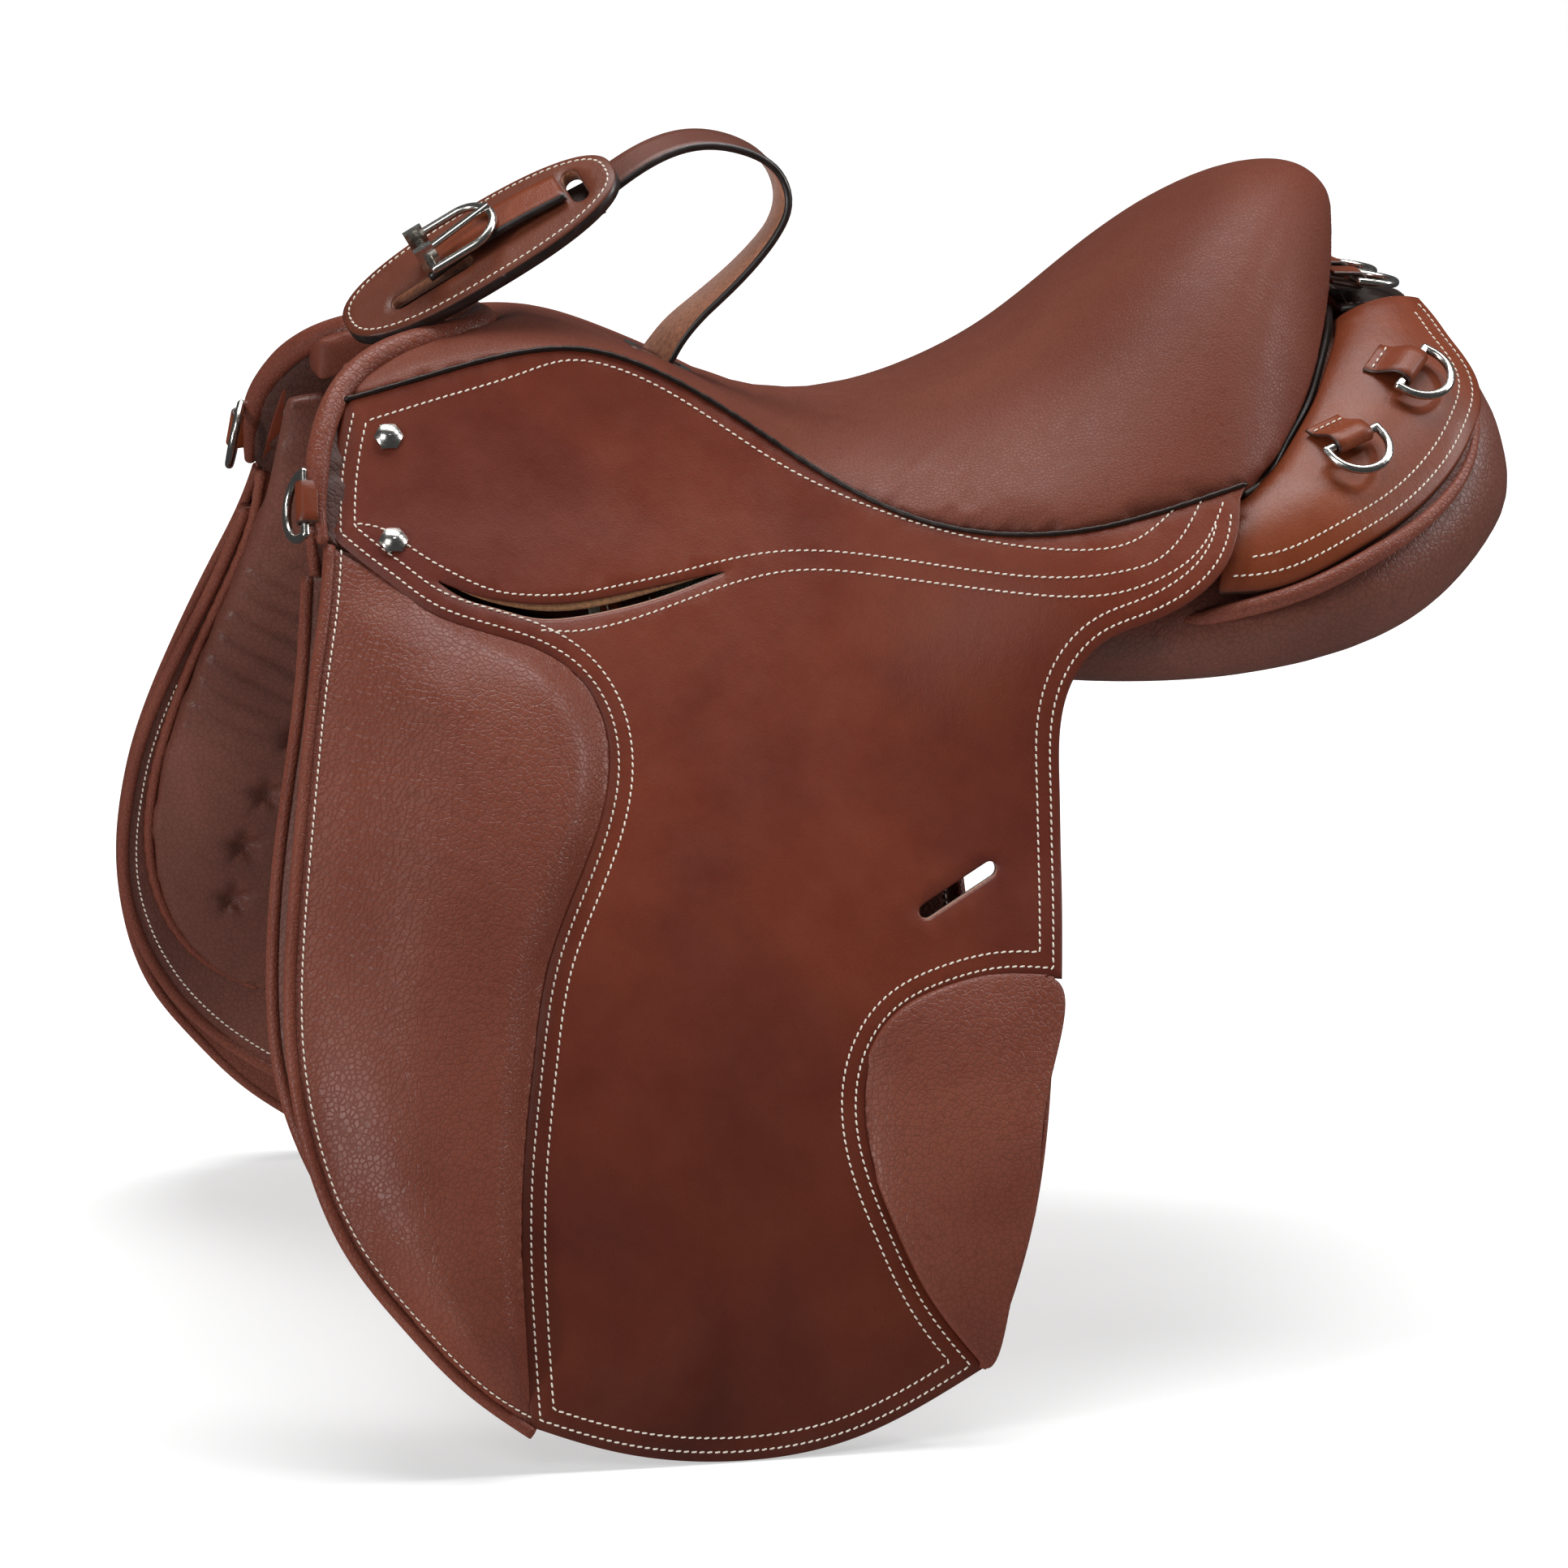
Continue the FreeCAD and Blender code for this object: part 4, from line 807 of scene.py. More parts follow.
def inflate(piece, cap, held=None):
    """Cloth simulation with air pressure. No point moves further than cap, and held points stay."""
    scene = bpy.context.scene
    rest = positions(piece.data)
    modifier = piece.modifiers.new("cloth", "CLOTH")
    settings = modifier.settings
    settings.quality = 3
    settings.mass = 0.3
    settings.tension_stiffness = settings.compression_stiffness = settings.shear_stiffness = 8.0
    settings.bending_stiffness = 0.8
    settings.use_pressure = True
    settings.uniform_pressure_force = 3.0
    settings.effector_weights.gravity = 0.0
    modifier.point_cache.frame_start, modifier.point_cache.frame_end = 1, CLOTH_FRAMES
    if held is not None:
        group = piece.vertex_groups.new(name="held")
        group.add([int(i) for i in np.nonzero(held)[0]], 1.0, "REPLACE")
        settings.vertex_group_mass = "held"
    for number in range(1, CLOTH_FRAMES + 1):
        scene.frame_set(number)
    depsgraph = bpy.context.evaluated_depsgraph_get()
    swollen = bpy.data.meshes.new_from_object(piece.evaluated_get(depsgraph))
    moved = positions(swollen)
    bpy.data.meshes.remove(swollen)
    piece.modifiers.clear()
    piece.vertex_groups.clear()
    scene.frame_set(1)
    step = moved - rest
    length = np.linalg.norm(step, axis=1)[:, None]
    step *= np.minimum(1.0, cap / np.maximum(length, 1e-9))
    piece.data.vertices.foreach_set("co", (rest + step).ravel())
    piece.data.update()


def subdivided(piece):
    """Adds one level of subdivision to the piece's mesh."""
    modifier = piece.modifiers.new("smooth", "SUBSURF")
    modifier.levels = modifier.render_levels = 1
    apply_modifiers(piece)
    piece.data.shade_smooth()


def push(piece, offset):
    """Moves each point of a piece by offset(positions)."""
    at = positions(piece.data)
    piece.data.vertices.foreach_set("co", (at + offset(at)).ravel())
    piece.data.update()


def dress(piece, *materials):
    """Gives a piece these materials and no others."""
    piece.data.materials.clear()
    for material in materials:
        piece.data.materials.append(material)


def soft_copy(name, node, material):
    """Copy of a CAD soft solid, to be padded out."""
    piece = bpy.data.objects.new(name, NODES[node].data.copy())
    bpy.context.scene.collection.objects.link(piece)
    bm = bmesh.new()
    bm.from_mesh(piece.data)
    bmesh.ops.remove_doubles(bm, verts=bm.verts, dist=1e-6)
    bm.to_mesh(piece.data)
    bm.free()
    dress(piece, material)
    return piece


def through(points, x, column=1):
    """Value at x on the smooth curve through the points."""
    line = spline([(p[0], p[column]) for p in points], 0.001)
    return np.interp(x, line[:, 0], line[:, 1])


def seat_solid():
    """Closed solid of the seat: its top, the face of the cantle and a flat underside."""
    stations = np.linspace(-0.207, 0.252, 76)
    across = np.sin(np.linspace(-math.pi / 2, math.pi / 2, 41))
    rings = []
    for x in stations:
        middle = float(through(SEAT_CENTRE, x))
        if x < RIM[0][0]:
            low = float(through(WELT_LINE, x)) - 0.0008
            half = float(drape(x, low)) - 0.001
        else:
            half, low = float(through(RIM, x)), float(through(RIM, x, 2))
        front = 1.0 - float(smooth((x - 0.12) / 0.05))
        wall = low - 0.004 - 0.044 * float(smooth((x - 0.177) / 0.05)) - 0.006 * front
        foot = half - 0.010 * float(smooth((x - 0.177) / 0.03)) - 0.012 * front
        top = [(x, t * half, low + (middle - low) * (1 - abs(t) ** SEAT_ROUNDNESS)) for t in across]
        base = [(x, t * foot, wall) for t in across[::-1]]
        rings.append(top + base)
    return loft("seat_calf_cover", rings, [SEAT])


def cut_notch(piece):
    """Opens the cut-back head of the seat."""
    rings = []
    outline_points = [(-0.30, -NOTCH_HALF), (NOTCH_END, -NOTCH_HALF)]
    arc = np.linspace(-math.pi / 2, math.pi / 2, 17)
    outline_points += [(NOTCH_END + NOTCH_HALF * math.cos(a), NOTCH_HALF * math.sin(a)) for a in arc]
    outline_points += [(-0.30, NOTCH_HALF)]
    for z in (0.06, 0.22):
        rings.append([(x, y, z) for x, y in outline_points])
    cutter = loft("notch_cutter", rings, [SEAT])
    modifier = piece.modifiers.new("notch", "BOOLEAN")
    modifier.operation = "DIFFERENCE"
    modifier.object = cutter
    apply_modifiers(piece)
    bpy.data.objects.remove(cutter)


def cantle_edge(at):
    """Sets the side of the cantle back a little below the blocked edge of the seat."""
    drop = through(RIM, at[:, 0], 2) + 0.001 - at[:, 2]
    down = smooth(drop / 0.006) * smooth((at[:, 0] - 0.180) / 0.012)
    back = np.column_stack([np.full(len(at), 0.4), 0.9 * np.sign(at[:, 1]), np.zeros(len(at))])
    return -0.0035 * down[:, None] * back


def build_seat():
    """Seat of blocked calf, and the welt between it and each skirt."""
    piece = seat_solid()
    cut_notch(piece)
    remeshed(piece, SEAT_VOXEL, 5)
    inflate(piece, 0.004)
    subdivided(piece)
    push(piece, cantle_edge)
    settle(piece, "saddle", "seat_leather", "seat_cover", "cantle_facing")
    for label, side in SIDES.items():
        line = spline(WELT_LINE, 0.002) - (0.0, 0.0009 + 0.0009 * side)
        path = on_drape(side)(line, -0.0002)
        waves = [1 + 0.10 * math.sin(i * 1.9) + 0.08 * math.sin(i * 0.83 + 1) for i in range(len(path))]
        welt = tube("seat_welt_piping_" + label, path, WELT_RADIUS * np.array(waves), [DARK_HIDE_AND_SHADE], 10)
        settle(welt, "saddle", "dark_leather", "seat_welt_" + label)


def build_cantle_foot():
    """Dark welt where the face of the cantle meets the rear skirts; its near-black colour is also painted
    shadow of the gap there.
    """
    for label, side in SIDES.items():
        path = spline([(x, side * y, z) for x, y, z in CANTLE_FOOT], 0.002)
        # Painted shadow: the near-black welt also stands for the dark gap under the cantle facing.
        welt = tube("cantle_foot_welt_" + label, path, FOOT_WELT_RADIUS, [DARK_HIDE_AND_SHADE], 10)
        settle(welt, "saddle", "dark_leather")


def roll_across(points):
    """0 at the front edge of the thigh roll, 1 at its edge against the flap."""
    front = np.array(sorted((b, a) for a, b in ROLL_FRONT))
    back = np.array(sorted((b, a) for a, b in ROLL_EDGE))
    z = np.clip(points[:, 1], -0.290, 0.034)
    ahead = np.interp(z, *spline(front, 0.002).T)
    behind = np.interp(z, *spline(back, 0.002).T)
    return np.clip((points[:, 0] - ahead) / (behind - ahead), 0.0, 1.0)


def roll_bulge(points):
    """How far the thigh roll stands out from the flap's face."""
    z = points[:, 1]
    u = roll_across(points)
    ends = smooth((z + 0.297) / 0.05) * smooth((0.046 - z) / 0.05)
    crown = smooth((u - 0.05) / 0.45) ** 0.8 * smooth((1.0 - u) / 0.17) ** 0.6
    return ROLL_HEIGHT * crown * ends - BEDDING


def calf_bulge(points):
    """How far the calf pad stands out from the flap's face."""
    x, z = points[:, 0], points[:, 1]
    across = np.maximum(0.0, 1 - ((x - 0.032) / 0.047) ** 2)
    along = np.maximum(0.0, 1 - ((z + 0.200) / 0.082) ** 2)
    return CALF_HEIGHT * np.sqrt(across * along) - BEDDING


def crumple(scale, height, seed):
    """Soft unevenness of stuffed leather, outwards along Y."""
    def offset(at):
        out = np.zeros_like(at)
        for i, p in enumerate(at):
            value = noise.noise(Vector((p[0] * scale + seed, p[1] * scale, p[2] * scale * 1.6)))
            out[i, 1] = math.copysign(1.0, p[1]) * value * height
        return out
    return offset


def build_under_flap(label, side):
    """Lining of the flap, and the girth straps with the web that they hang from."""
    place = on_drape(side)
    slot = stadium_loop(SLOT_CENTRE, SLOT_LENGTH, SLOT_WIDTH + 0.001, SLOT_ANGLE)
    lining = sheet("flap_lining_calf_" + label, [outline(*LINING_RUNS), slot], place, LINING_DEPTH,
                   LINING_THICK, [LINING, EDGE, EDGE], 0.007)
    lean(lining, side)
    settle(lining, "flap_" + label, "soft_leather", "flap_lining_" + label)
    (left, low), (right, high) = WEB_SPAN
    corners = [(left, low), (right, low), (right, high), (left, high), (left, low)]
    loop = outline(*zip(corners, corners[1:]))
    web = sheet("girth_web_" + label, [loop], place, WEB_DEPTH, WEB_THICK, [LINEN, LINEN], 0.005)
    settle(web, "saddle", "raw_leather", "billet_web_" + label)
    half = BILLET_WIDTH / 2
    for name, x in BILLET_PLACES.items():
        node = f"billet_{name}_{label}"
        corners = [(x - half, BILLET_TOP), (x + half, BILLET_TOP), (x + half, BILLET_END),
                   (x, BILLET_END - 0.016), (x - half, BILLET_END), (x - half, BILLET_TOP)]
        holes = [stadium_loop((x, z), BILLET_HOLE, BILLET_HOLE, step=0.0006) for z in BILLET_HOLES]
        piece = sheet(node + "_hide", [resample(corners, 0.003)[:-1]] + holes, place, BILLET_DEPTH,
                      BILLET_THICK, [TAN, EDGE, RAW], 0.005)
        ends = (BILLET_TOP - 0.004, BILLET_END + 0.002)
        rows = [drape_row([(x + t, z) for z in ends], side, BILLET_DEPTH) for t in (-0.0095, 0.0095)]
        seam = stitches(node + "_stitching", rows, THREAD)
        for part in (piece, seam):
            settle(part, node, "bridle_leather")
        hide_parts(node)


def build_flap(label, side):
    """Skirt and flap in one hide, with its stitching and the lip of the stirrup slit."""
    body = "flap_" + label
    place = on_drape(side)
    front_tab = [SKIRT_FRONT[-1], (-0.2138, 0.0537), ROLL_EDGE[0]]
    top = [(x, z - 0.0006) for x, z in WELT_LINE]
    edge = outline(top[::-1], SKIRT_FRONT, front_tab, ROLL_EDGE, HEM, CALF_EDGE, REAR_EDGE)
    slit = outline(SLIT_UPPER, [SLIT_UPPER[-1], SLIT_LOWER[0]], SLIT_LOWER,
                   [SLIT_LOWER[-1], SLIT_UPPER[0]], step=0.0015)
    slot = stadium_loop(SLOT_CENTRE, SLOT_LENGTH, SLOT_WIDTH, SLOT_ANGLE)
    piece = sheet("flap_hide_" + label, [edge, slit, slot], place, 0.0, FLAP_THICK, [FLAP, EDGE, RAW])
    lean(piece, side)
    blend_at_fold(piece, label)
    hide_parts("skirt_" + label, body)
    rows = [drape_row(inset_row(edge, d, SKIRT_FRONT[0], (0.172, 0.066)), side) for d in ROW_INSETS]
    rows += [drape_row(spline(r, 0.002), side) for r in (ROW_WELT, ROW_SLIT_TOP, ROW_SLIT_LOW)]
    seam = stitches("flap_stitching_" + label, rows, THREAD)
    lean(seam, side)
    blend_at_fold(seam, label)
    upper = [(x, z + 0.0006) for x, z in SLIT_UPPER]
    spots = resample(spline(upper), 0.0160)
    lower = [(x, z - LIP_WIDTH * math.sin(math.pi * i / 8)) for i, (x, z) in enumerate(spots)]
    lip = sheet("stirrup_slit_lip_" + label, [outline(upper, lower[::-1], step=0.0015)], place, LIP_DEPTH,
                LIP_THICK, [SUEDE, SUEDE], 0.003)
    settle(lip, "saddle", "raw_leather")


def blend_at_fold(piece, label):
    """Reads the hinge of the fold line where the flap meets the skirt, and bakes the piece's transform
    into its mesh.
    """
    hinge = JOINTS["flap_lift_" + label]
    point, axis = Vector(hinge["pos_m"]), Vector(hinge["axis"])
    down = Vector((axis.z, 0.0, -axis.x)).normalized()
    if down.z > 0:
        down = -down
    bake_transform(piece)


def puff(name, loop, place, bulge, swell):
    """Padded leather sewn down round its edge: only its face swells, under air pressure."""
    piece = sheet(name, [loop], place, 0.0, PUFF_THICK, [ROLL], 0.0036, bulge, rim=0)
    height = bulge(positions(piece.data)[:, [0, 2]])
    count = len(height) // 2
    held = (np.arange(len(height)) >= count) | (height < 0.0012)
    inflate(piece, swell, held)
    return piece


def wrinkles(at):
    """Fine creases across the front of the thigh roll, deepest near its top."""
    out = np.zeros_like(at)
    for i, p in enumerate(at):
        mask = math.exp(-((p[2] + 0.040) / 0.055) ** 2) * math.exp(-((p[0] + 0.205) / 0.030) ** 2)
        bend = p[2] + 0.25 * abs(p[0] + 0.205)
        crease = abs(noise.noise(Vector((p[0] * 18.0, 0.0, bend * 150.0))))
        swell = noise.noise(Vector((p[0] * 22.0, 3.0, p[2] * 30.0)))
        out[i, 1] = math.copysign(0.0004 * swell - 0.0011 * crease * mask, p[1])
    return out


def build_roll(label, side):
    """Thigh roll in front and calf pad behind, both on the flap."""
    body = "flap_" + label
    place = on_drape(side)
    back = [(x + 0.0022, z + 0.0010) for x, z in ROLL_EDGE]
    loop = outline([ROLL_FRONT[-1], back[0]], back, [back[-1], ROLL_FRONT[0]], ROLL_FRONT)
    roll = puff("thigh_roll_pad_" + label, loop, place, roll_bulge, 0.003)
    subdivided(roll)
    push(roll, wrinkles)
    lean(roll, side)
    settle(roll, body, "soft_leather", "thigh_roll_" + label)
    calf_loop = outline([(x - 0.0020, z + 0.0020) for x, z in CALF_EDGE], CALF_REAR_UNDER)
    calf = puff("calf_pad_cover_" + label, calf_loop, place, calf_bulge, 0.0025)
    subdivided(calf)
    settle(calf, body, "soft_leather", "calf_pad_" + label)


def lean(piece, side):
    """The off side's leathers sit a little further forward than the near side's."""
    if side > 0:
        push(piece, forward)


def forward(at):
    """Offset that slides the low front of a leather forward."""
    out = np.zeros_like(at)
    out[:, 0] = -OFF_LEAN * smooth((0.060 - at[:, 2]) / 0.16) * smooth((-0.020 - at[:, 0]) / 0.16)
    return out


def build_bindings(label, side):
    """Bound edges of the flap, and the stitching of the thigh roll."""
    place = on_drape(side)
    front = spline(ROLL_FRONT, 0.003)
    bind = tube("flap_binding_" + label, place(front, 0.0010), BINDING_RADIUS, [ROLL], 12)
    lean(bind, side)
    settle(bind, "flap_" + label, "soft_leather")
    seam = stitches("thigh_roll_stitching_" + label, [roll_row(inner_row(ROLL_FRONT, ROLL_INSET), side)],
                    THREAD)
    lean(seam, side)
    settle(seam, "flap_" + label, "soft_leather")
    rear = spline(CALF_REAR, 0.003)
    piping = tube("calf_binding_" + label, place(rear, 0.0012), CALF_BINDING_RADIUS, [ROLL], 10)
    settle(piping, "flap_" + label, "soft_leather")


def inner_row(line, distance):
    """Row at that distance behind a front edge."""
    line = spline(line, 0.001)
    ahead = np.gradient(line, axis=0)
    normals = np.column_stack([-ahead[:, 1], ahead[:, 0]])
    normals /= np.linalg.norm(normals, axis=1)[:, None]
    normals *= np.sign(normals[:, :1])
    return resample(line + normals * distance, 0.002)


def roll_row(row, side):
    """Stitch row that lies on the swelling of the thigh roll."""
    place = on_drape(side)
    at, normal = row_on(lambda points: place(points, -roll_bulge(points)), row, 0.001)
    normal = normal * (np.sign(normal[:, 1:2]) * side)
    return at + normal * 0.0004, normal


def build_sweat_flap(label, side):
    """Sweat flap under the girth straps, bound and stitched round its edge."""
    place = on_drape(side)
    loop = outline(SWEAT_FRONT, SWEAT_HEM, SWEAT_REAR, [SWEAT_REAR[-1], SWEAT_FRONT[0]])
    piece = sheet("sweat_flap_hide_" + label, [loop], place, SWEAT_DEPTH, SWEAT_THICK, [PANEL, EDGE],
                  0.008)
    lean(piece, side)
    settle(piece, "saddle", "bridle_leather", "sweat_flap_" + label)
    edge = np.vstack([spline(SWEAT_FRONT, 0.003), spline(SWEAT_HEM, 0.003)[1:],
                      spline(SWEAT_REAR, 0.003)[1:]])
    bind = tube("sweat_flap_binding_" + label, place(edge, SWEAT_DEPTH + 0.0015), SWEAT_BINDING_RADIUS,
                [ROLL], 12)
    lean(bind, side)
    settle(bind, "saddle", "soft_leather")
    for name, depth, turn in (("outer", SWEAT_DEPTH, 1), ("inner", SWEAT_DEPTH + SWEAT_THICK, -1)):
        at, normal = drape_row(inset_row(loop, SWEAT_INSET, SWEAT_FRONT[0], SWEAT_REAR[-1]), side, depth)
        seam = stitches(f"sweat_flap_stitching_{name}_{label}", [(at, normal * turn)], THREAD)
        lean(seam, side)
        settle(seam, "saddle", "soft_leather")


def knee_folds(side):
    """Inner face of the knee panel: tufts, and folds that fan out towards its front."""
    def offset(at):
        out = np.zeros_like(at)
        deep = smooth((np.abs(drape(at[:, 0], at[:, 2])) - np.abs(at[:, 1]) - 0.034) / 0.004)
        for i, p in enumerate(at):
            if deep[i] < 0.01:
                continue
            push_out = 0.0
            for x, z in TUFTS:
                gap = math.hypot(p[0] - x, p[2] - z)
                angle = math.atan2(p[2] - z, p[0] - x)
                push_out += 0.0075 * math.exp(-(gap / 0.0065) ** 2)
                push_out += 0.0010 * math.sin(5 * angle) * math.exp(-((gap - 0.007) / 0.005) ** 2)
            mask = math.exp(-((p[2] + 0.030) / 0.050) ** 2)
            warp = 0.004 * noise.noise(Vector((p[0] * 30, 1.0, p[2] * 30)))
            across = (p[2] + 0.55 * (p[0] + 0.20) + warp) / 0.013
            push_out += 0.0022 * mask * (0.5 + 0.5 * math.cos(2 * math.pi * across)) ** 3
            out[i, 1] = side * push_out * deep[i]
        return out
    return offset


def knee_head(at):
    """Draws the top of the knee panel up to the lining of the head."""
    out = np.zeros_like(at)
    out[:, 2] = 0.012 * smooth((at[:, 2] - 0.030) / 0.050)
    return out


def panel_reach(at):
    """Lets the rear panel run a little past the skirt behind, and lifts its belly."""
    out = np.zeros_like(at)
    out[:, 0] = 0.014 * smooth((at[:, 0] - 0.10) / 0.18) * smooth((0.118 - at[:, 2]) / 0.075)
    out[:, 2] = 0.0095 * smooth((0.070 - at[:, 2]) / 0.080)
    return out


def build_panels(label, side):
    """Knee panel and rear panel, which rest on the horse, with their welts."""
    knee = soft_copy("knee_panel_cover_" + label, "knee_panel_" + label, PANEL)
    remeshed(knee, KNEE_VOXEL, 4)
    inflate(knee, 0.005)
    subdivided(knee)
    push(knee, knee_folds(side))
    push(knee, knee_head)
    lean(knee, side)
    rear = soft_copy("rear_panel_cover_" + label, "rear_panel_" + label, PANEL)
    remeshed(rear, REAR_VOXEL, 4)
    inflate(rear, 0.005)
    subdivided(rear)
    push(rear, panel_reach)
    push(rear, crumple(16.0, 0.0007, 5.0))
    for piece, node in ((knee, "knee_panel_"), (rear, "rear_panel_")):
        settle(piece, "saddle", "soft_leather", node + label)
    line = spline(KNEE_FRONT, 0.003)
    ripple = KNEE_WELT_RADIUS * (1 + 0.08 * np.sin(np.arange(len(line)) * 2.1))
    front = tube("knee_panel_welt_" + label, on_drape(side)(line, 0.0300), ripple, [ROLL], 10)
    lean(front, side)
    path = spline([(x, side * y, z) for x, y, z in PANEL_BINDING], 0.003)
    taper = PANEL_BINDING_RADIUS * np.minimum(1.0, 0.35 + 1.6 * np.linspace(1, 0, len(path)))
    under = tube("rear_panel_binding_" + label, path, taper, [ROLL], 12)
    for piece in (front, under):
        settle(piece, "saddle", "soft_leather")


class Face:
    """Face of a CAD sheet seen along a direction: its outline in that plane, and a fit to its height."""

    degree = 5

    def __init__(self, node, toward):
        up = Vector(toward).normalized()
        first = Vector((1, 0, 0)) - up * up.x
        first.normalize()
        second = up.cross(first)
        self.axes = np.array([first, second, up])
        bm = bmesh.new()
        bm.from_mesh(NODES[node].data)
        bmesh.ops.remove_doubles(bm, verts=bm.verts, dist=1e-6)
        faces = {f for f in bm.faces if f.normal.dot(up) > 0.25}
        verts = {v for f in faces for v in f.verts}
        local = np.array([self.axes @ np.array(v.co) for v in verts])
        self.centre = local[:, :2].mean(axis=0)
        self.size = np.ptp(local[:, :2], axis=0).max() / 2
        self.fit, *_ = np.linalg.lstsq(self.terms(local[:, :2]), local[:, 2], rcond=None)
        links = {}
        for e in bm.edges:
            if sum(f in faces for f in e.link_faces) == 1:
                a, b = e.verts
                links.setdefault(a, []).append(b)
                links.setdefault(b, []).append(a)
        start = next(iter(links))
        chain, last = [start], None
        while True:
            ahead = [v for v in links[chain[-1]] if v is not last]
            last = chain[-1]
            if not ahead or ahead[0] is start:
                break
            chain.append(ahead[0])
        self.loop = np.array([(self.axes @ np.array(v.co))[:2] for v in chain])
        bm.free()

    def terms(self, points):
        u = (points - self.centre) / self.size
        return np.column_stack([u[:, 0] ** i * u[:, 1] ** j for i in range(self.degree + 1)
                                for j in range(self.degree + 1 - i)])

    def place(self, points, depth):
        height = self.terms(points) @ self.fit - depth
        return np.column_stack([points, height]) @ self.axes

    def row(self, line):
        return row_on(lambda points: self.place(points, 0.0), resample(line, 0.0015))


def build_rear_skirt(label, side):
    """Rear skirt, with two rows of stitches along its outer edge."""
    face = Face("rear_skirt_" + label, (0.0, side * 0.6, 0.8))
    loop = reloop(face.loop, 0.003)
    piece = sheet("rear_skirt_hide_" + label, [loop], face.place, 0.0, SKIRT_THICK, [TAN, EDGE], 0.006)
    settle(piece, "saddle", "bridle_leather", "rear_skirt_" + label)
    outer = nearest(spline([(x, side * y, z) for x, y, z in SKIRT_OUTER], 0.002))
    dense = reloop(loop, 0.001)
    tree = nearest(dense)
    rows = []
    for distance in SKIRT_INSETS:
        moved = inset(dense, distance, 3)
        world = face.place(moved, 0.0)
        run = [i for i, p in enumerate(moved) if tree.find((p[0], p[1], 0.0))[2] > distance - 0.0002
               and outer.find(tuple(world[i]))[2] < distance + 0.006]
        rows += [face.row(moved[part]) for part in unbroken(run, len(dense))]
    seam = stitches("rear_skirt_stitching_" + label, rows, THREAD)
    settle(seam, "saddle", "bridle_leather")
    return face


def unbroken(run, count):
    """Splits a cyclic list of indices at its gaps."""
    parts, current = [], []
    for i in run:
        if current and i - current[-1] > 4:
            parts.append(current)
            current = []
        current.append(i)
    parts.append(current)
    if len(parts) > 1 and parts[0][0] + count - parts[-1][-1] <= 4:
        parts[0] = parts.pop() + parts[0]
    return [part for part in parts if len(part) > 8]


def build_head():
    """Pommel roll round the cut-back head, and the pleated lining under it."""
    path = spline(POMMEL_ROLL + [(x, -y, z) for x, y, z in POMMEL_ROLL[-2::-1]], 0.003)
    middle = np.abs(np.linspace(-1, 1, len(path)))
    radius = 0.0028 + 0.0026 * smooth((1 - middle) / 0.20) + 0.0016 * smooth((0.75 - middle) / 0.6)
    roll = tube("pommel_roll_cover", path, radius, [ROLL], 20)
    subdivided(roll)
    push(roll, pommel_creases)
    settle(roll, "saddle", "soft_leather", "pommel_roll")
    arch, steps = resample(path, 0.004), np.linspace(0.0, 1.0, 16)
    rings = []
    for (x, y, z), bend in zip(arch, np.abs(np.linspace(-1, 1, len(arch)))):
        reach = 0.030 + 0.060 * bend
        line = [(x + 0.001 + reach * t, y * (0.97 - 0.16 * t), z - 0.003 - 0.020 * t ** 0.7)
                for t in steps]
        rings.append(line + [(a, b * 1.03, c + 0.0025) for a, b, c in line[::-1]])
    lining = loft("gullet_lining_cover", rings, [LINING])
    subdivided(lining)
    push(lining, lining_puckers)
    settle(lining, "saddle", "soft_leather", "gullet_lining")


def pommel_creases(at):
    """Soft creases of the pommel roll."""
    out = np.zeros_like(at)
    for i, p in enumerate(at):
        value = noise.noise(Vector((p[0] * 60, p[1] * 60, p[2] * 60)))
        out[i] = np.array((0.3, math.copysign(0.6, p[1]), 0.7)) * value * 0.0007
    return out


def lining_puckers(at):
    """Pleats of the lining, which run back from the pommel roll."""
    out = np.zeros_like(at)
    for i, p in enumerate(at):
        around = math.atan2(p[1], p[2] - 0.05) * 0.09
        value = noise.noise(Vector((p[0] * 16, around * 170, 2.0)))
        out[i] = Vector((0.0, -p[1], 0.05 - p[2])).normalized() * (0.0022 * abs(value))
    return out


def dish(points):
    """How far the face of the oval safe stands up in its middle."""
    return 0.0012 * (1 - (points[:, 0] / (SAFE_LENGTH / 2)) ** 2 - (points[:, 1] / (SAFE_WIDTH / 2)) ** 2)


def build_safe():
    """Oval safe of the hand-hold, with its stitching."""
    angles = np.linspace(0, 2 * math.pi, 120, endpoint=False)
    rim = [(math.copysign(abs(math.cos(a)) ** 0.8, math.cos(a)) * SAFE_LENGTH / 2,
            math.copysign(abs(math.sin(a)) ** 0.8, math.sin(a)) * SAFE_WIDTH / 2) for a in angles]
    edge = reloop(rim, 0.002)
    loops = [edge, stadium_loop(*FRONT_SLIT), stadium_loop(*REAR_SLIT)]
    safe = sheet("oval_safe_hide", loops, on_safe, 0.0, SAFE_THICK, [SAFE, BLACK_EDGE, RAW], 0.004, dish)
    settle(safe, "saddle", "bridle_leather", "oval_safe")
    line = inset_row(edge, SMALL_INSET, edge[0], edge[-1])
    line = np.vstack([line, line[:1]])
    at = on_safe(line, -dish(line))
    seam = stitches("oval_safe_stitching", [(at, np.tile(np.array(SAFE_NORMAL), (len(at), 1)))], THREAD)
    settle(seam, "saddle", "bridle_leather")


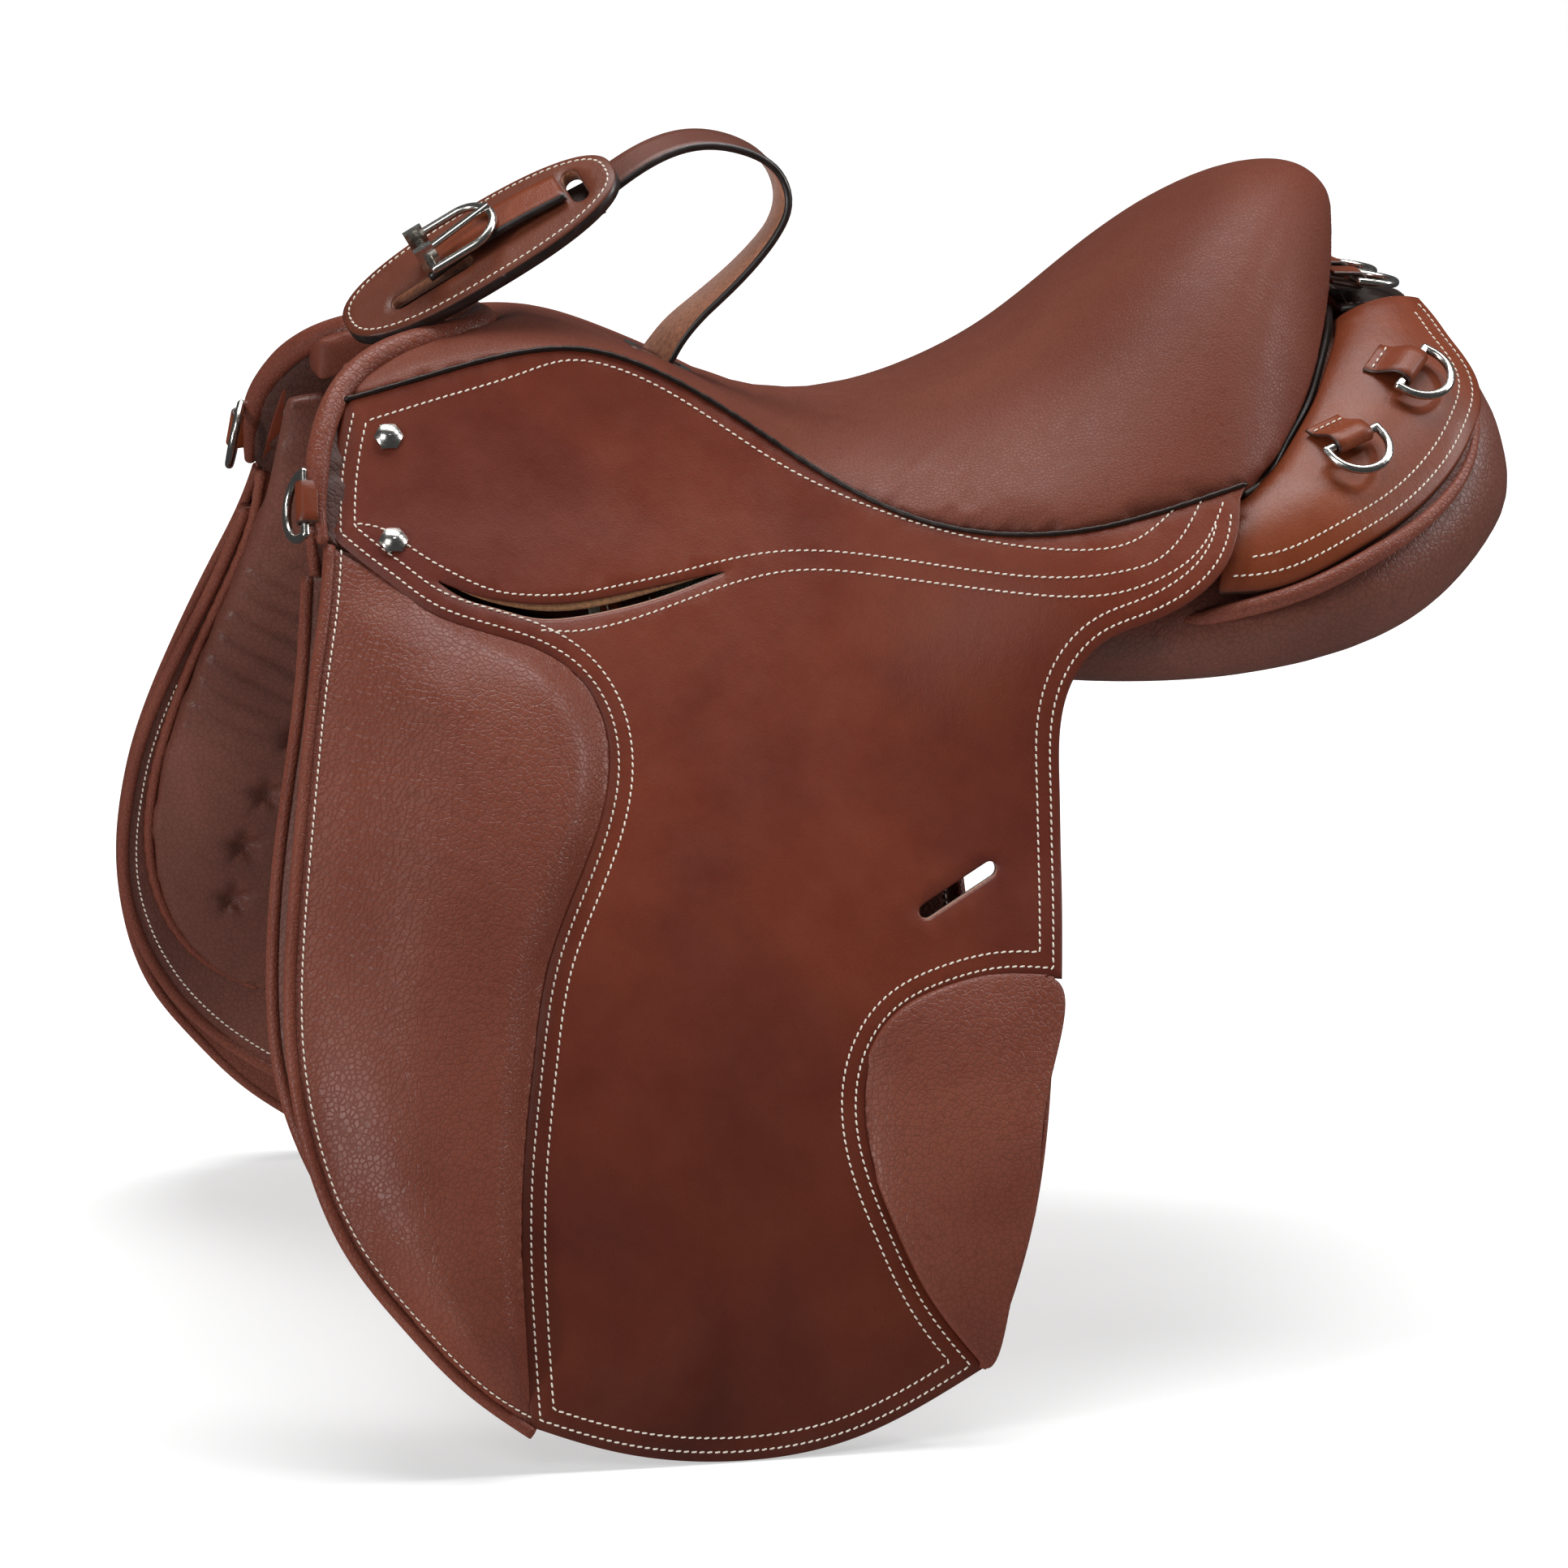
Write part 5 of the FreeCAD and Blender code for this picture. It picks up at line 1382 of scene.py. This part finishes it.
def build_hand_strap():
    """Strap of the hand-hold: the loop, the tail on the safe and the part under it, near-black there with
    painted shade.
    """
    path = spline(STRAP_PATH, 0.003)
    marks = np.linspace(0, 1, len(path))
    sides = np.column_stack([np.interp(marks, STRAP_MARKS, [s[k] for s in STRAP_SIDES]) for k in range(3)])
    loop = strap("hand_strap", path, sides, STRAP_WIDTH, STRAP_THICK, [STRAP, RAW, BLACK_EDGE])
    settle(loop, "saddle", "bridle_leather", "strap_loop")
    lift = 0.0036 + 0.0022 * np.sin(np.linspace(0, math.pi, 30))
    tail = safe_strap("strap_end", TAIL_SPAN, -lift, TAIL_WIDTH, TAIL_THICK, [TAN, RAW, BLACK_EDGE])
    settle(tail, "saddle", "bridle_leather", "strap_tail")
    # Painted shade: the part of the strap under the safe is near-black on both faces, where the safe
    # shades it.
    under_depth = SAFE_THICK + 0.0026 + 0.0020 * np.linspace(-1, 1, 24) ** 2
    under = safe_strap("strap_under_safe", UNDER_SPAN, under_depth, UNDER_WIDTH, UNDER_THICK,
                       [DARK_HIDE_AND_SHADE, DARK_HIDE_AND_SHADE, BLACK_EDGE])
    settle(under, "saddle", "dark_leather")


def safe_strap(name, span, depth, width, thick, materials):
    """Strap that lies along the oval safe, at a depth under its face."""
    count = len(depth)
    line = np.array([(x, 0.0) for x in np.linspace(*span, count)])
    return strap(name, on_safe(line, depth), np.tile(np.array(SAFE_ACROSS), (count, 1)), width, thick,
                 materials)


def build_anchor():
    """Strap that holds the safe down to the tree, through the cut-back head: dark brown leather,
    near-black with painted shade where it lies in shadow.
    """
    path = spline(ANCHOR_PATH, 0.002)
    # Painted shade: the anchor strap's near-black hide stands for dark brown leather in shadow.
    piece = strap("safe_anchor_strap", path, np.tile((0.0, 1.0, 0.0), (len(path), 1)), STRAP_WIDTH,
                  ANCHOR_THICK, [DARK_HIDE_AND_SHADE, RAW, BLACK_EDGE])
    settle(piece, "saddle", "dark_leather", "strap_anchor")


def dee_frame(node):
    """Middle of a ring's straight bar, the bar's direction, and the direction in which the bow lies."""
    joint = next(j for j in JOINTS.values() if j["child"] == node)
    centre, axis = np.array(joint["pos_m"]), np.array(joint["axis"])
    bow = positions(NODES[node].data).mean(axis=0) - centre
    bow -= axis * np.dot(bow, axis)
    return centre, axis, bow / np.linalg.norm(bow)


def keeper_strap(node, path, axis):
    """Strap along the path, as wide as a dee's bar."""
    path = resample(path, 0.0008)
    piece = strap(node + "_keeper", path, np.tile(axis, (len(path), 1)), KEEPER_WIDTH, KEEPER_THICK,
                  [TAN, RAW, EDGE])
    settle(piece, "saddle", "bridle_leather")
    return piece


def wrap(radius, first, last):
    """Arc round a bar, as (along the bow, away from the leather) pairs."""
    return [(radius * math.cos(a), radius * math.sin(a)) for a in np.radians(np.linspace(first, last, 15))]


def sewn_keeper(node, face):
    """Keeper of a rear dee: it rises from the skirt, turns round the bar and is sewn down."""
    centre, axis, bow = dee_frame(node)
    local = face.axes @ centre
    rise = local[2] - (face.terms(local[None, :2]) @ face.fit)[0]

    def above(along, height):
        flat = (face.axes @ (centre + bow * along))[:2]
        return face.place(flat[None], -height)[0]

    slope = np.linspace(0.0, 1.0, 9)
    heights = 0.0006 + (rise + KEEPER_TURN - 0.0008) * smooth((slope - 0.15) / 0.85)
    path = [above(-0.0190 + 0.0170 * t, h) for t, h in zip(slope, heights)]
    path += [above(a, rise + b) for a, b in wrap(KEEPER_TURN, 80, -70)]
    middle, up = above(-0.0155, 0.0022), above(-0.0155, 0.0060) - above(-0.0155, 0.0022)
    keeper_strap(node, np.array(path), -axis * math.copysign(1.0, np.dot(np.cross(axis, bow), up)))
    row = np.array([middle + axis * t for t in np.linspace(-0.0085, 0.0085, 12)])
    seam = stitches(node + "_keeper_stitching", [(row, np.tile(up, (12, 1)))], THREAD)
    settle(seam, "saddle", "bridle_leather")


def folded_keeper(node, side):
    """Keeper of a front or cantle dee: a loop round the bar, with both ends tucked in."""
    centre, axis, bow = dee_frame(node)
    tail = -0.012
    if node.startswith("front"):
        tail = -0.0055
        bow = np.array((-1.0, -side * 0.05, 0.06))
        bow -= axis * np.dot(bow, axis)
        bow /= np.linalg.norm(bow)
    face_way = np.cross(axis, bow)
    section = [(tail, -0.0020)] + wrap(KEEPER_TURN, -100, 100) + [(tail, 0.0020)]
    return keeper_strap(node, np.array([centre + bow * a + face_way * b for a, b in section]), axis)


def build_keepers(faces):
    """Keepers of all eight dees."""
    for label, side in SIDES.items():
        for name in REAR_DEES:
            sewn_keeper(f"{name}_{label}", faces[label])
        for name in LOOSE_DEES:
            keeper = folded_keeper(f"{name}_{label}", side)
            if keeper.name == "front_dee_near_keeper":
                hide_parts("dee_keepers")


def build_bridge():
    """Dark leather across the back of the cantle, with a brown row of stitches down each side."""
    face = Face("rear_bridge", (0.25, 0.0, 0.95))
    loop = reloop(face.loop, 0.002)
    piece = sheet("rear_bridge_hide", [loop], face.place, 0.0, BRIDGE_THICK, [DARK_HIDE_AND_SHADE, BLACK_EDGE], 0.004)
    settle(piece, "saddle", "dark_leather", "rear_bridge")
    line = inset_row(loop, SMALL_INSET, loop[0], loop[-1])
    seam = stitches("rear_bridge_stitching", [face.row(line)], BROWN_THREAD)
    settle(seam, "saddle", "dark_leather")


# ---------------------------------------------------------------- studio

def area_light(name, place, target, size, power):
    """Rectangular softbox that faces its target."""
    data = bpy.data.lights.new(name, "AREA")
    data.shape = "RECTANGLE"
    data.size, data.size_y = size
    data.energy = power
    lamp = bpy.data.objects.new(name, data)
    lamp.location = place
    lamp.rotation_euler = (Vector(target) - Vector(place)).to_track_quat("-Z", "Y").to_euler()
    bpy.context.scene.collection.objects.link(lamp)


def build_floor():
    """Pale paper that lies flat under the saddle and curves up into a wall behind it."""
    floor_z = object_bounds()[0][2] - 0.0005
    profile = [(-FLOOR_REACH, floor_z), (WALL_PLACE, floor_z)]
    for a in np.linspace(0, math.pi / 2, 14)[1:]:
        profile.append((WALL_PLACE + WALL_CURVE * math.sin(a), floor_z + WALL_CURVE * (1 - math.cos(a))))
    profile.append((WALL_PLACE + WALL_CURVE, floor_z + WALL_RISE))
    verts = [(x, y, z) for x in (-FLOOR_REACH, FLOOR_REACH) for y, z in profile]
    count = len(profile)
    faces = [(i, i + 1, count + i + 1, count + i) for i in range(count - 1)]
    mesh = bpy.data.meshes.new("studio_floor")
    mesh.from_pydata(verts, [], faces)
    mesh.shade_smooth()
    floor = bpy.data.objects.new("studio_floor", mesh)
    floor.visible_glossy = False
    bpy.context.scene.collection.objects.link(floor)
    n = Nodes("pale_paper")
    low, high = PAPER_TONES
    tone = n.ramp(n.noise(3.0), [(0.3, (low, low, low)), (0.7, (high, high, high))])
    mesh.materials.append(n.done(tone, 0.9, emission_strength=PAPER_GLOW))


def build_lights():
    """Soft light from all round, and a plain white world."""
    world = bpy.data.worlds.new("studio_world")
    bpy.context.scene.world = world
    world.use_nodes = True
    background = world.node_tree.nodes["Background"]
    background.inputs["Color"].default_value = (1.0, 1.0, 1.0, 1.0)
    background.inputs["Strength"].default_value = WORLD_LIGHT
    for name, setting in LIGHTS.items():
        area_light(name, *setting)
    bpy.context.scene.view_settings.view_transform = "Standard"


def camera():
    """Camera on a long lens, a little above and to the front."""
    azimuth, elevation = math.radians(CAMERA_AZIMUTH), math.radians(CAMERA_ELEVATION)
    back = Vector((math.sin(azimuth) * math.cos(elevation), -math.cos(azimuth) * math.cos(elevation),
                   math.sin(elevation)))
    data = bpy.data.cameras.new("camera")
    data.lens = CAMERA_LENS
    data.clip_end = 50.0
    eye = bpy.data.objects.new("camera", data)
    eye.location = CAMERA_TARGET + back * CAMERA_DISTANCE
    eye.rotation_euler = (-back).to_track_quat("-Z", "Y").to_euler()
    bpy.context.scene.collection.objects.link(eye)
    bpy.context.scene.camera = eye


camera()
finish_frame()
build_seat()
build_cantle_foot()
rear_faces = {}
for label, side in SIDES.items():
    build_flap(label, side)
    build_under_flap(label, side)
    build_roll(label, side)
    build_bindings(label, side)
    build_sweat_flap(label, side)
    build_panels(label, side)
    rear_faces[label] = build_rear_skirt(label, side)
build_head()
build_bridge()
build_safe()
build_hand_strap()
build_anchor()
build_keepers(rear_faces)
build_floor()
build_lights()
